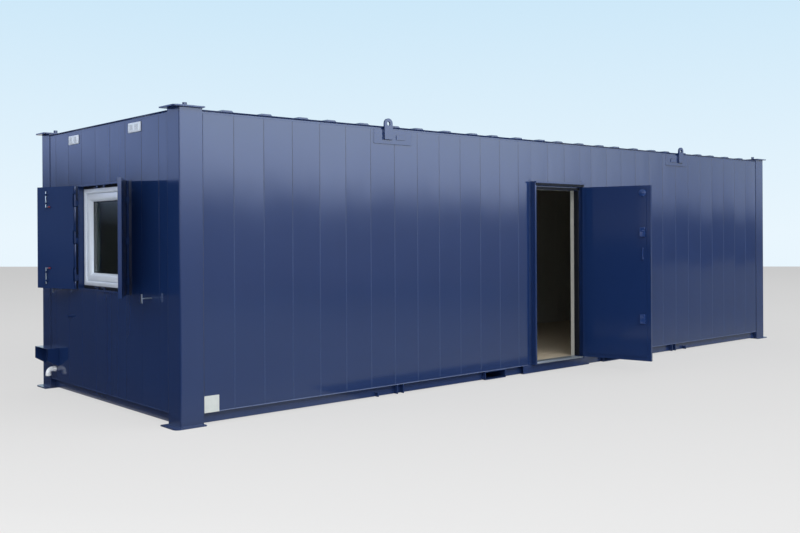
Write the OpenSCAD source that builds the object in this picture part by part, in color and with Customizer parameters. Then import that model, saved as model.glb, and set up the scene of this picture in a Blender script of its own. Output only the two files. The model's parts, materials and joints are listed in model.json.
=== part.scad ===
// Steel site cabin with a hinged outward-opening door in one long wall and a shuttered window in one end.
// Origin: the outer corner of the front-left corner post, at ground level.
// +X runs along the cabin, +Y runs back from the door wall, +Z is up. All sizes are in millimetres.

/* [Cabin] */
// Outside length over the corner posts
cabin_l = 9754; // [8500:1:12200]
// Outside width over the corner posts
cabin_w = 3048; // [2700:1:3700]
// Height of the tops of the corner posts above the ground
post_top = 2685; // [2550:1:3000]
// Drop from the post tops to the tops of the wall panels
roof_drop = 45; // [40:1:80]

/* [Corner posts] */
// Width of each leg of a folded corner post
post_w = 215; // [160:1:260]
// Thickness of the post plate
post_t = 6; // [4:0.5:10]
// Outside radius of the post's fold
post_r = 14; // [8:1:30]
// Reach of the foot and cap plates beyond the posts, at the cabin's ends
plate_end_lap = 66; // [30:1:80]
// Reach of those plates beyond the posts, at the cabin's long sides
plate_side_lap = 34; // [20:1:60]
// Reach of those plates inward along the cabin
plate_end_in = 9; // [5:1:40]
// Reach of those plates inward across the cabin
plate_side_in = 19; // [5:1:40]
// Radius of the outer corner of those plates
plate_r = 50; // [20:1:80]
// Thickness of the foot plates
foot_t = 12; // [8:1:20]
// Thickness of the cap plates
cap_t = 12; // [8:1:20]
// Diameter of the stacking studs on the cap plates
stud_d = 40; // [24:1:60]
// Height of the stacking studs
stud_h = 38; // [20:1:60]

/* [Base] */
// Height of the undersides of the base rails
rail_bottom = 14; // [13:1:40]
// Height of the tops of the base rails
rail_top = 105; // [90:1:160]
// Set-back of the rail webs from the post faces
rail_setback = 48; // [30:1:60]
// Reach of the rail flanges
rail_flange = 62; // [40:1:80]
// Thickness of the rail webs and flanges
rail_t = 6; // [4:0.5:10]
// Outside width of a fork pocket
pocket_w = 327; // [250:1:360]
// Wall of a fork pocket
pocket_t = 8; // [5:0.5:12]
// Distance of the fork pockets from the middle of the cabin
pocket_x = 1057; // [900:1:1200]
// Distance of the inner gusset from the cabin's end
gusset_x = 2470; // [2300:1:2700]
// Spacing of the two gussets
gusset_gap = 80; // [60:1:120]
// Thickness of gussets and lashing lugs
gusset_t = 10; // [6:1:16]
// Distance of the lashing lug from the cabin's end
lug_x = 2140; // [1900:1:2250]
// Height of a lashing lug
lug_h = 40; // [24:1:60]
// Width of a floor bearer
bearer_w = 44; // [30:1:60]
// Top of the finished floor
floor_top = 130; // [125:1:180]

/* [Walls] */
// Set-back of the wall panels from the post faces
wall_setback = 5; // [2:0.5:10]
// Thickness of a steel-faced wall panel
wall_t = 85; // [70:1:110]
// Thickness of the inside lining board
lining_t = 12; // [9:0.5:18]
// Spacing of the seams in the long walls
seam_pitch = 307.5; // [250:0.5:400]
// Spacing of the seams in the end walls
end_seam_pitch = 327; // [250:0.5:400]
// Width of a seam groove
seam_w = 4.5; // [3:0.5:10]
// Depth of a seam groove
seam_d = 2; // [1:0.5:5]
// Drop from the wall tops to the underside of the ceiling
ceiling_drop = 150; // [120:1:260]

/* [Roof] */
// Number of sheets laid side by side, with three crowns each
sheet_count = 8; // [6:1:10]
// Distance of the first crown from the window end
crown_first = 464; // [350:1:550]
// Distance of the last crown from the far end
crown_last = 634; // [400:1:700]
// Spacing of a sheet's crowns, as a share of the sheet's cover
crown_step_share = 0.3565; // [0.33:0.0005:0.37]
// Height of a crown
crown_h = 38; // [20:1:42]
// Width of a crown at its foot
crown_foot_w = 185; // [120:1:200]
// Width of a crown across its top
crown_top_w = 95; // [60:1:110]
// Thickness of the roof sheet
sheet_t = 3; // [1.5:0.5:5]
// Overhang of the nose along the eaves trim
eaves_lap = 8; // [4:1:16]
// Height of that nose
eaves_nose = 14; // [8:1:16]
// Height of the eaves trim's face
eaves_h = 31; // [16:1:36]
// Thickness of the eaves trim
eaves_t = 6; // [3:0.5:8]

/* [Lifting eyes] */
// Distance of a lifting eye from the cabin's end
eye_x = 2270; // [2150:1:2350]
// Width of an eye plate
eye_w = 104; // [90:1:130]
// Thickness of an eye plate
eye_t = 20; // [12:1:30]
// Diameter of the hole in an eye plate
eye_d = 42; // [30:1:52]
// Height of the centre of the hole above the wall top
eye_rise = 59; // [55:1:80]
// Depth of the eye plate below the wall top
eye_drop = 97; // [80:1:120]
// Length of the pad plate behind the eye
pad_l = 490; // [460:1:560]
// Distance of the pad plate's outer end from the eye's middle
pad_out = 170; // [120:1:220]
// Height of the pad plate
pad_h = 140; // [125:1:180]
// Thickness of the pad plate
pad_t = 10; // [6:1:14]

/* [Door] */
// Outside width of the door frame
door_frame_w = 900; // [850:1:1050]
// Width of the frame's proud lip
door_lip_w = 24; // [16:1:36]
// Reach of the frame beyond the post faces
door_proud = 57; // [50:1:70]
// Width of the stop that the leaf closes on
door_stop_w = 43; // [38:1:60]
// Drop from the wall tops to the top of the leaf
door_drop = 492; // [440:1:640]
// Thickness of the leaf
door_t = 45; // [40:1:50]
// Gap round the closed leaf
door_gap = 6; // [5:0.5:8]
// Gap under the leaf
leaf_sill_gap = 7; // [5:0.5:10]
// Width of the step round the leaf's inner pan
door_step_w = 46; // [40:1:60]
// Depth of that step
door_step_d = 8; // [4:0.5:12]
// Angle at which the leaf stands open
door_open = 103; // [0:1:165]
// Width of the apron under the doorway
apron_w = 1200; // [1100:1:1300]
// Height of the head from the leaf's gap to the drip's top
door_head_h = 45; // [36:1:60]
// Thickness of the drip over the head
drip_t = 17; // [10:1:22]
// Reach of the drip beyond the frame
drip_lap = 18; // [10:1:26]

/* [Window and shutters] */
// Width of the window opening
window_w = 1090; // [900:1:1120]
// Height of the window opening
window_h = 1014; // [900:1:1060]
// Drop from the wall tops to the top of the opening
window_drop = 542; // [480:1:620]
// Set-back of the white frame from the post face
frame_setback = 42; // [38:1:50]
// Gap at each side of the white frame
frame_side_gap = 22; // [12:1:28]
// Gap above the white frame
frame_top_gap = 30; // [20:1:40]
// Gap below the white frame
frame_foot_gap = 35; // [26:1:44]
// Visible width of the white frame
frame_w = 50; // [40:1:60]
// Depth of the white frame
frame_d = 70; // [60:1:80]
// Visible width of the sash
sash_w = 75; // [60:1:85]
// Thickness of a shutter
shutter_t = 32; // [26:1:36]
// Lap of a shutter over the opening, top and bottom
shutter_lap = 6; // [4:1:10]
// Distance of the shutters' pins from the post face
shutter_pin_out = 30; // [28:1:36]
// Distance of the shutters' pins beyond the opening
shutter_pin_side = 21; // [18:1:26]
// Gap between a shutter's edge and its pin line
shutter_gap = 6; // [5:0.5:9]
// Angle at which the left shutter stands open
left_open = 163; // [0:1:165]
// Angle at which the right shutter stands open
right_open = 150; // [0:1:165]
// Diameter of a shutter bolt
bolt_d = 12; // [10:1:14]
// Distance of the bolts from the left shutter's free edge
bolt_in = 150; // [110:1:180]
// Length of a bolt
bolt_l = 165; // [150:1:180]
// Distance of the catches from the middle of the window
catch_x = 1000; // [960:1:1040]
// Reach of the catches from the post face
catch_out = 96; // [90:1:120]

/* [Services] */
// Width of the cable hood
hood_w = 355; // [280:1:370]
// Reach of the cable hood
hood_d = 108; // [80:1:140]
// Height of the cable hood at the wall
hood_h = 185; // [150:1:210]
// Height of the hood's top
hood_top = 440; // [380:1:520]
// Outside diameter of the waste pipe
waste_d = 50; // [40:1:58]
// Drop from the hood's foot to the waste pipe's middle
waste_drop = 33; // [31:1:45]
// Distance of the waste pipe from the hood's outer end
waste_in = 280; // [200:1:320]
// Distance of the waste pipe's fall from the post face
waste_out = 75; // [70:1:90]
// Distance of the overflow spout from the rear of the cabin
spout_in = 763; // [600:1:800]
// Height of the overflow spout
spout_z = 796; // [700:1:900]

/* [Hidden] */
$fn = 48;
overrun = 1;
fit_gap = 0.15;

// Heights and depths shared by several pieces
wall_top = post_top - roof_drop;
wall_in = wall_setback + wall_t;
room_in = wall_in + lining_t;
board_gap = 2;
ceiling_z = wall_top - ceiling_drop;
cabin_mid = cabin_l / 2;

// Doorway: left and right edges measured from the cabin's middle
frame_x0 = cabin_mid - door_frame_w / 2;
lip_x = frame_x0 + door_lip_w;
stop_x = lip_x + door_stop_w;
stop_y = -door_proud + door_t + door_gap;
jamb_in = 50;
leaf_w = door_frame_w - 2 * door_lip_w - 2 * door_gap;
leaf_bottom = floor_top + leaf_sill_gap;
door_top = wall_top - door_drop;
head_z = door_top + door_gap;
head_top = head_z + door_head_h;
stop_z = head_z - door_stop_w;
leaf_x0 = lip_x + door_gap;
// Door hinges: pin line just in front of the gap at the right-hand lip
hinge_r = 11;
hinge_pin_r = 6;
hinge_h = 64;
hinge_plate_t = 5;
hinge_plate_w = 52;
hinge_lip_w = 18;
door_pin_out = 14;
door_pin_x = 2 * cabin_mid - lip_x - door_gap / 2;
door_pin_y = -door_proud - door_pin_out;
hinge_height_shares = [0.1, 0.5, 0.9];

// Window: half sizes round its middle, which is the middle of the end wall
window_mid = cabin_w / 2;
window_top = wall_top - window_drop;
window_z = window_top - window_h;
liner_t = 6;
rim_w = 10;
rim_out = 8;
shutter_pin_u = window_w / 2 + shutter_pin_side;
shutter_w = shutter_pin_u - 2 * shutter_gap;
shutter_z0 = window_z - shutter_lap;
shutter_z1 = window_top + shutter_lap;
shutter_hinge_r = 10;
shutter_hinge_pin_r = 5;
shutter_hinge_h = 60;
shutter_hinge_notch = 20;
shutter_lug_w = 16;
shutter_hinge_shares = [0.14, 0.5, 0.86];

// Shutter bolts, in the left shutter's own frame when closed
bolt_off = 14;
bolt_tip_drop = 38;
guide_base_t = 3;
guide_w = 24;
guide_h = 18;
guide_inset = 26;
guide_clear = 0.3;
handle_d = 10;
handle_l = 62;
bolt_travel = 20;
guide_free = 5;
keeper_t = 6;
keeper_w = 36;
keeper_clear = 1.5;
keeper_rise = 6;

// Places a piece on each long side or each end alike
module both_sides() {
    children();
    translate([0, cabin_w, 0]) mirror([0, 1, 0]) children();
}
module both_ends() {
    children();
    translate([cabin_l, 0, 0]) mirror([1, 0, 0]) children();
}
module four_corners() both_ends() both_sides() children();
// Swaps X and Y, so that what is drawn along the front wall lies along the window end
module on_left_end() mirror([1, -1, 0]) children();
// Mirrors a piece across the middle of the doorway
module both_jambs() {
    children();
    translate([2 * cabin_mid, 0, 0]) mirror([1, 0, 0]) children();
}
// A box given by its two corners
module box(low, high) translate(low) cube(high - low);

// A plate outline whose corner at the start is rounded
module round_corner(size, r) {
    translate([r, 0]) square([size[0] - r, size[1]]);
    translate([0, r]) square([size[0], size[1] - r]);
    translate([r, r]) circle(r);
}

module corner_posts() {
    color("midnightblue") four_corners()
        translate([0, 0, foot_t]) linear_extrude(post_top - foot_t) {
            difference() {
                round_corner([post_w, post_w], post_r);
                translate([post_t, post_t]) round_corner([post_w, post_w], post_r - post_t);
            }
            translate([post_w - post_t, 0]) square([post_t, wall_in]);
            translate([0, post_w - post_t]) square([wall_in, post_t]);
        }
}

module corner_plate(t)
    linear_extrude(t) translate([-plate_end_lap, -plate_side_lap])
        round_corner([plate_end_lap + post_w + plate_end_in, plate_side_lap + post_w + plate_side_in],
            plate_r);

module cap_plates() {
    color("midnightblue") four_corners() translate([0, 0, post_top]) {
        corner_plate(cap_t);
        translate([post_w / 2, post_w / 2, 0]) cylinder(d = stud_d, h = cap_t + stud_h);
    }
}

module foot_plates() color("midnightblue") four_corners() corner_plate(foot_t);

// Channel section: web at the outside, flanges turned in under the floor
module rail_section() difference() {
    translate([rail_setback, rail_bottom]) square([rail_flange, rail_top - rail_bottom]);
    translate([rail_setback + rail_t, rail_bottom + rail_t])
        square([rail_flange, rail_top - rail_bottom - 2 * rail_t]);
}
// The same section run along X from one place to another
module rail_run(x0, x1)
    translate([x0, 0, 0]) rotate([90, 0, 90]) linear_extrude(x1 - x0) rail_section();

pocket_near = cabin_mid - pocket_x - pocket_w / 2;
pocket_far = cabin_mid - pocket_x + pocket_w / 2;

module base_rails() {
    color("midnightblue") {
        both_sides() {
            both_ends() rail_run(post_w, pocket_near);
            rail_run(pocket_far, cabin_l - pocket_far);
        }
        both_ends() on_left_end() rail_run(post_w, cabin_w - post_w);
    }
}

module rail_gussets() {
    color("midnightblue") both_sides() both_ends() {
        for (x = [gusset_x - gusset_gap, gusset_x])
            box([x - gusset_t / 2, 0, rail_bottom], [x + gusset_t / 2, rail_setback, rail_top]);
        box([lug_x - gusset_t / 2, 0, rail_bottom],
            [lug_x + gusset_t / 2, rail_setback, rail_bottom + lug_h]);
    }
}

module fork_pockets() {
    color("midnightblue") both_ends() difference() {
        box([pocket_near, 0, rail_bottom], [pocket_far, cabin_w, rail_top]);
        box([pocket_near + pocket_t, -overrun, rail_bottom + pocket_t],
            [pocket_far - pocket_t, cabin_w + overrun, rail_top - pocket_t]);
    }
}

end_bearers = 5;
mid_bearers = 3;
module floor_bearers() {
    rail_in = rail_setback + rail_flange;
    end_pitch = (pocket_near - rail_in) / (end_bearers + 1);
    mid_pitch = (cabin_l - 2 * pocket_far) / (mid_bearers + 1);
    color("dimgray") {
        both_ends() for (i = [1:end_bearers]) bearer(rail_in + i * end_pitch);
        for (i = [1:mid_bearers]) bearer(pocket_far + i * mid_pitch);
    }
}
// Cold-rolled channel lying between the rail webs
module bearer(x) {
    depth = rail_top - rail_bottom - 2 * rail_t;
    translate([x - bearer_w / 2, rail_setback + rail_t, rail_bottom + rail_t]) difference() {
        cube([bearer_w, cabin_w - 2 * rail_setback - 2 * rail_t, depth]);
        translate([rail_t, -overrun, rail_t])
            cube([bearer_w, cabin_w, depth - 2 * rail_t]);
    }
}

module floor_deck()
    color("tan") box([wall_in, wall_in, rail_top], [cabin_l - wall_in, cabin_w - wall_in, floor_top]);

// Plan of a wall panel: the outer face has a groove at each seam
function seam_points(seams) =
    [for (s = seams) each [[s - seam_w / 2, 0], [s, seam_d], [s + seam_w / 2, 0]]];
module wall_panel(u0, u1, seams, z0, z1) {
    inside = [for (s = seams) if (s > u0 + seam_w && s < u1 - seam_w) s];
    translate([0, wall_setback, z0]) linear_extrude(z1 - z0)
        polygon(concat([[u0, 0]], seam_points(inside), [[u1, 0], [u1, wall_t], [u0, wall_t]]));
}
long_seams = [for (s = [post_w + seam_pitch:seam_pitch:cabin_mid]) s];
rear_bays = round((cabin_l - 2 * post_w) / seam_pitch);
rear_seams = [for (i = [1:rear_bays - 1]) post_w + i * (cabin_l - 2 * post_w) / rear_bays];
door_bays = 3;
door_seams = [for (i = [1:door_bays - 1]) frame_x0 + i * door_frame_w / door_bays];
end_bays = round((cabin_w - 2 * post_w) / end_seam_pitch);
half_bay_share = 0.5;
end_seams = [for (i = [0:end_bays - 1]) post_w + (i + half_bay_share) * (cabin_w - 2 * post_w) / end_bays];

module front_wall_sides()
    color("midnightblue") both_jambs() wall_panel(post_w, frame_x0, long_seams, rail_top, wall_top);
module front_wall_over_door()
    color("midnightblue") wall_panel(frame_x0, cabin_l - frame_x0, door_seams, head_top, wall_top);
module rear_wall()
    color("midnightblue") translate([0, cabin_w, 0]) mirror([0, 1, 0])
        wall_panel(post_w, cabin_l - post_w, rear_seams, rail_top, wall_top);

window_u0 = window_mid - window_w / 2;
window_u1 = window_mid + window_w / 2;
module left_wall_sides()
    color("midnightblue") on_left_end() {
        wall_panel(post_w, window_u0, end_seams, rail_top, wall_top);
        wall_panel(window_u1, cabin_w - post_w, end_seams, rail_top, wall_top);
    }
module left_wall_over_window()
    color("midnightblue") on_left_end() wall_panel(window_u0, window_u1, end_seams, window_top, wall_top);
module left_wall_under_window()
    color("midnightblue") on_left_end() wall_panel(window_u0, window_u1, end_seams, rail_top, window_z);
module right_wall()
    color("midnightblue") translate([cabin_l, 0, 0]) mirror([1, 0, 0]) on_left_end()
        wall_panel(post_w, cabin_w - post_w, end_seams, rail_top, wall_top);

// Lining boards stand on the floor, with open joints between them
module wall_linings() {
    reveal_x = stop_x - lining_t;
    reveal_z = stop_z + lining_t;
    board_x0 = room_in + board_gap;
    color("gainsboro") {
        both_jambs() box([board_x0, wall_in, floor_top], [reveal_x, room_in, ceiling_z]);
        box([reveal_x + board_gap, wall_in, reveal_z], [cabin_l - reveal_x - board_gap, room_in, ceiling_z]);
        box([board_x0, cabin_w - room_in, floor_top], [cabin_l - board_x0, cabin_w - wall_in, ceiling_z]);
        box([cabin_l - room_in, wall_in, floor_top], [cabin_l - wall_in, cabin_w - wall_in, ceiling_z]);
        on_left_end() window_end_linings();
    }
}
// The boards beside, under and over the window
module window_end_linings() {
    box([wall_in, wall_in, floor_top], [window_u0 - board_gap, room_in, ceiling_z]);
    box([window_u1 + board_gap, wall_in, floor_top], [cabin_w - wall_in, room_in, ceiling_z]);
    box([window_u0, wall_in, floor_top], [window_u1, room_in, window_z]);
    box([window_u0, wall_in, window_top], [window_u1, room_in, ceiling_z]);
}
module ceiling()
    color("white")
        box([wall_in, wall_in, ceiling_z], [cabin_l - wall_in, cabin_w - wall_in, ceiling_z + lining_t]);

// Profiled roof sheets: flat pans with three raised crowns each, run across the cabin
crowns_per_sheet = 3;
sheet_cover = (cabin_l - crown_first - crown_last)
    / (sheet_count - 1 + (crowns_per_sheet - 1) * crown_step_share);
crown_places = [for (i = [0:sheet_count - 1], j = [0:crowns_per_sheet - 1])
    crown_first + (i + j * crown_step_share) * sheet_cover];
function crown_points(x, z) = [[x - crown_foot_w / 2, z], [x - crown_top_w / 2, z + crown_h],
    [x + crown_top_w / 2, z + crown_h], [x + crown_foot_w / 2, z]];
// The sheets lie on the eaves trim, just inside its face
eaves_back = wall_setback + eaves_t;
sheet_in = eaves_back + board_gap;
function sheet_line(z) = concat([[sheet_in, z]], [for (x = crown_places) each crown_points(x, z)],
    [[cabin_l - sheet_in, z]]);
function reversed(list) = [for (i = [len(list) - 1:-1:0]) list[i]];
module roof_sheet() {
    under = wall_top + eaves_t;
    top = under + sheet_t;
    color("midnightblue") difference() {
        union() {
            translate([0, cabin_w - sheet_in, 0]) rotate([90, 0, 0]) linear_extrude(cabin_w - 2 * sheet_in)
                polygon(concat(sheet_line(under), reversed(sheet_line(top))));
            both_sides() translate([0, sheet_in + sheet_t, 0]) rotate([90, 0, 0]) linear_extrude(sheet_t)
                for (x = crown_places) polygon(crown_points(x, top));
        }
        four_corners() box([-overrun, -overrun, 0], [post_w, post_w, post_top]);
    }
}

// Folded eaves trim: a leg on the wall top, a face flush with the wall and a nose that tips the rain off
eaves_leg = 98;
module eaves_section() {
    top = wall_top + eaves_h;
    polygon([[wall_setback, wall_top], [wall_setback, top - eaves_nose], [-eaves_lap, top - eaves_t / 2],
        [-eaves_lap, top], [eaves_back, top], [eaves_back, wall_top + eaves_t],
        [eaves_leg, wall_top + eaves_t], [eaves_leg, wall_top]]);
}
module eaves_run(u0, u1)
    translate([u0, 0, 0]) rotate([90, 0, 90]) linear_extrude(u1 - u0) eaves_section();
module eaves_trim() {
    notch = eye_w / 2 + board_gap;
    color("midnightblue") {
        both_sides() difference() {
            eaves_run(post_w, cabin_l - post_w);
            both_ends() box([eye_x - notch, -eye_t - pad_t, wall_top - overrun],
                [eye_x + notch, wall_setback, wall_top + eaves_h + overrun]);
        }
        both_ends() on_left_end() eaves_run(post_w, cabin_w - post_w);
    }
}

pad_face = wall_setback - pad_t;
stop_plate_l = 116;
stop_plate_h = 50;
stop_plate_t = 6;
stop_plate_cut = 16;
stop_plate_gap = 60;
module eye_pads() {
    pad_x0 = eye_x - pad_out;
    plate_x = eye_x + eye_w / 2 + stop_plate_gap;
    plate_z = wall_top - pad_h / 2 - stop_plate_h / 2;
    color("midnightblue") four_corners() {
        box([pad_x0, pad_face, wall_top - pad_h], [pad_x0 + pad_l, wall_setback, wall_top]);
        translate([plate_x, pad_face, plate_z]) rotate([90, 0, 0]) linear_extrude(stop_plate_t)
            polygon([[0, 0], [stop_plate_l, 0], [stop_plate_l, stop_plate_h - stop_plate_cut],
                [stop_plate_l - stop_plate_cut, stop_plate_h], [0, stop_plate_h]]);
    }
}

module lifting_eyes() {
    color("midnightblue") four_corners()
        translate([eye_x, pad_face, wall_top]) rotate([90, 0, 0]) difference() {
            union() {
                translate([-eye_w / 2, -eye_drop, 0]) cube([eye_w, eye_drop + eye_rise, eye_t]);
                translate([0, eye_rise, 0]) cylinder(d = eye_w, h = eye_t);
            }
            translate([0, eye_rise, -overrun]) cylinder(d = eye_d, h = eye_t + 2 * overrun);
        }
}

// Pressed steel jamb: a proud lip, then the stop that the leaf closes on
module door_jambs() {
    color("midnightblue") both_jambs() translate([0, 0, rail_top]) linear_extrude(head_top - rail_top)
        polygon([[frame_x0, -door_proud], [lip_x, -door_proud], [lip_x, stop_y], [stop_x, stop_y],
            [stop_x, jamb_in], [stop_x - lining_t, jamb_in], [stop_x - lining_t, wall_in],
            [frame_x0, wall_in]]);
}

module door_head() {
    far_lip = cabin_l - lip_x;
    far_stop = cabin_l - stop_x;
    color("midnightblue") {
        box([lip_x, -door_proud, head_z], [far_lip, stop_y, head_top]);
        box([stop_x, stop_y, stop_z], [far_stop, jamb_in, head_top]);
        box([stop_x - lining_t, jamb_in, stop_z + lining_t], [far_stop + lining_t, wall_in, head_top]);
        box([frame_x0, -door_proud - drip_lap, head_top - drip_t],
            [cabin_l - frame_x0, -door_proud, head_top]);
    }
}

threshold_nose = 50;
threshold_t = 12;
module door_threshold() {
    color("silver") {
        box([lip_x, -threshold_nose, floor_top - threshold_t], [cabin_l - lip_x, stop_y, floor_top]);
        box([stop_x, stop_y, floor_top - threshold_t], [cabin_l - stop_x, wall_in, floor_top]);
        box([stop_x, 0, rail_top], [cabin_l - stop_x, wall_in, floor_top - threshold_t]);
    }
}

// Folded apron that closes the rail's recess under the doorway
apron_t = 6;
module door_apron() {
    color("midnightblue") translate([cabin_mid - apron_w / 2, 0, 0]) rotate([90, 0, 90])
        linear_extrude(apron_w) difference() {
            translate([0, rail_bottom]) square([rail_setback, rail_top - rail_bottom]);
            translate([apron_t, rail_bottom + apron_t])
                square([rail_setback, rail_top - rail_bottom - 2 * apron_t]);
        }
}

module door_reveal() {
    color("white") {
        both_jambs() box([stop_x - lining_t, jamb_in, floor_top], [stop_x, room_in, stop_z]);
        box([stop_x - lining_t, jamb_in, stop_z], [cabin_l - stop_x + lining_t, room_in, stop_z + lining_t]);
    }
}

// Turns a piece drawn in the closed position about the door's pin line
module door_swung() translate([door_pin_x, door_pin_y, 0]) rotate([0, 0, door_open])
    translate([-door_pin_x, -door_pin_y, 0]) children();

leaf_inner_y = -door_proud + door_t;
module door_leaf() {
    leaf_x1 = leaf_x0 + leaf_w;
    color("midnightblue") door_swung() {
        box([leaf_x0, -door_proud, leaf_bottom], [leaf_x1, leaf_inner_y - door_step_d, door_top]);
        box([leaf_x0 + door_step_w, leaf_inner_y - door_step_d, leaf_bottom + door_step_w],
            [leaf_x1 - door_step_w, leaf_inner_y, door_top - door_step_w]);
    }
}

hinge_heights = [for (s = hinge_height_shares) leaf_bottom + s * (door_top - leaf_bottom)];
// Lower knuckle with its pin, welded to the frame's lip by a plate
module door_frame_hinges() {
    color("midnightblue") for (z = hinge_heights) translate([door_pin_x, door_pin_y, z]) {
        translate([0, 0, -hinge_h]) cylinder(r = hinge_r, h = hinge_h);
        cylinder(r = hinge_pin_r, h = hinge_h);
        translate([0, 0, -hinge_h]) cube([hinge_lip_w + door_gap / 2, hinge_plate_t, hinge_h]);
        translate([door_gap / 2, 0, -hinge_h]) cube([hinge_lip_w, door_pin_out, hinge_h]);
    }
}
// Upper knuckle, bored for the pin and welded to the leaf
knuckle_lift = 0.5;
module door_leaf_hinges() {
    color("midnightblue") door_swung() for (z = hinge_heights)
        translate([door_pin_x, door_pin_y, z + knuckle_lift]) difference() {
            union() {
                cylinder(r = hinge_r, h = hinge_h);
                translate([-hinge_plate_w, door_pin_out - hinge_plate_t, 0])
                    cube([hinge_plate_w - door_gap / 2, hinge_plate_t, hinge_h]);
                translate([-hinge_r - door_gap / 2, 0, 0]) cube([hinge_r, door_pin_out, hinge_h]);
            }
            translate([0, 0, -overrun]) cylinder(r = hinge_pin_r + fit_gap, h = hinge_h + 2 * overrun);
        }
}

// Bolt boss, lock cases and a pair of pulls, bolted through the leaf near its free edge
boss_d = 90;
boss_h = 16;
boss_drop = 96;
gear_in = 92;
lock_case = [60, 22, 110];
lock_z_share = 0.735;
pull_z_share = 0.61;
foot_lock_z_share = 0.24;
pull_d = 16;
pull_leg_d = 12;
pull_l = 150;
pull_out = 40;
module pull_handle() {
    translate([0, pull_out, 0]) cylinder(d = pull_d, h = pull_l);
    for (z = [pull_d, pull_l - pull_d])
        translate([0, 0, z]) rotate([-90, 0, 0]) cylinder(d = pull_leg_d, h = pull_out);
}
module door_lock_gear() {
    rise = door_top - leaf_bottom;
    color("slategray") door_swung() translate([leaf_x0 + gear_in, leaf_inner_y, leaf_bottom]) {
        translate([0, 0, rise - boss_drop]) rotate([-90, 0, 0]) cylinder(d = boss_d, h = boss_h);
        for (share = [lock_z_share, foot_lock_z_share])
            translate([-lock_case.x / 2, 0, share * rise - lock_case.z / 2]) cube(lock_case);
        translate([0, 0, pull_z_share * rise - pull_l / 2]) {
            pull_handle();
            translate([0, -door_t, 0]) mirror([0, 1, 0]) pull_handle();
        }
    }
}

// A ring drawn in the window's plane: outer and inner sizes are half widths and heights
module window_ring(out, inn, depth0, depth1) difference() {
    box([window_mid - out[0], depth0, out[1]], [window_mid + out[0], depth1, out[2]]);
    box([window_mid - inn[0], depth0 - overrun, inn[1]], [window_mid + inn[0], depth1 + overrun, inn[2]]);
}
opening_half = [window_w / 2, window_z, window_top];
frame_half = [window_w / 2 - frame_side_gap, window_z + frame_foot_gap, window_top - frame_top_gap];
function inset(half, d) = [half[0] - d, half[1] + d, half[2] - d];
sash_lap = 15;
sash_rebate = 24;
sash_setback = frame_setback + sash_rebate;
sash_d = 60;
glass_lap = 12;
glass_t = 24;
glass_rebate = 26;
glass_setback = sash_setback + glass_rebate;
flange_t = 6;

module window_surround() {
    color("midnightblue") on_left_end() {
        window_ring(opening_half, inset(opening_half, liner_t), -rim_out, wall_in);
        window_ring(inset(opening_half, -rim_w), opening_half, -rim_out, wall_setback);
        window_ring(inset(opening_half, liner_t), frame_half, frame_setback, frame_setback + flange_t);
    }
}
module window_frame() {
    color("white") on_left_end() {
        window_ring(frame_half, inset(frame_half, frame_w), frame_setback, sash_setback);
        window_ring(frame_half, inset(frame_half, frame_w - sash_lap), sash_setback, frame_setback + frame_d);
    }
}
module window_sash() {
    sash_half = inset(frame_half, frame_w - sash_lap);
    light_half = inset(frame_half, frame_w + sash_w);
    color("white") on_left_end() difference() {
        window_ring(sash_half, light_half, sash_setback, sash_setback + sash_d);
        glass_block(light_half);
    }
}
module glass_block(light) {
    g = inset(light, -glass_lap);
    box([window_mid - g[0], glass_setback, g[1]], [window_mid + g[0], glass_setback + glass_t, g[2]]);
}
module window_glass()
    color("lightsteelblue", 0.4) on_left_end() glass_block(inset(frame_half, frame_w + sash_w));

// Shutters are drawn closed along +u from their pin line, then turned out from the wall
module shutter_at(side, angle)
    on_left_end() translate([window_mid + side * shutter_pin_u, -shutter_pin_out, 0])
        mirror([side > 0 ? 1 : 0, 0, 0]) rotate([0, 0, -angle]) children();
shutter_hinge_z = [for (s = shutter_hinge_shares) shutter_z0 + s * (shutter_z1 - shutter_z0)];

module shutter_leaf() {
    difference() {
        union() {
            box([shutter_gap, -shutter_t / 2, shutter_z0],
                [shutter_gap + shutter_w, shutter_t / 2, shutter_z1]);
            for (z = shutter_hinge_z) translate([0, 0, z + knuckle_lift]) {
                cylinder(r = shutter_hinge_r, h = shutter_hinge_h);
                translate([0, -shutter_hinge_r, 0])
                    cube([shutter_hinge_notch + overrun, shutter_hinge_r, shutter_hinge_h]);
            }
        }
        for (z = shutter_hinge_z) {
            box([-shutter_hinge_r - overrun, -shutter_t, z - shutter_hinge_h - shutter_gap],
                [shutter_hinge_notch, shutter_t, z + knuckle_lift]);
            difference() {
                box([shutter_gap - overrun, -shutter_t, z],
                    [shutter_hinge_notch, shutter_t, z + shutter_hinge_h + shutter_gap]);
                translate([0, 0, z]) cylinder(r = shutter_hinge_r, h = knuckle_lift + shutter_hinge_h);
                box([0, -shutter_hinge_r, z], [shutter_hinge_notch, 0, z + knuckle_lift + shutter_hinge_h]);
            }
            translate([0, 0, z])
                cylinder(r = shutter_hinge_pin_r + fit_gap, h = shutter_hinge_h + 2 * overrun);
        }
    }
}
module left_shutter() color("midnightblue") shutter_at(1, left_open) shutter_leaf();
module right_shutter() color("midnightblue") shutter_at(-1, right_open) shutter_leaf();

// Fixed knuckles with their pins, each on a lug welded to the wall beside the opening
module shutter_frame_hinges() {
    color("midnightblue") for (side = [1, -1], z = shutter_hinge_z) shutter_at(side, 0) translate([0, 0, z]) {
        translate([0, 0, -shutter_hinge_h]) cylinder(r = shutter_hinge_r, h = shutter_hinge_h);
        cylinder(r = shutter_hinge_pin_r, h = shutter_hinge_h);
        translate([-shutter_lug_w / 2, 0, -shutter_hinge_h])
            cube([shutter_lug_w, shutter_pin_out + wall_setback, shutter_hinge_h]);
    }
}

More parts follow.
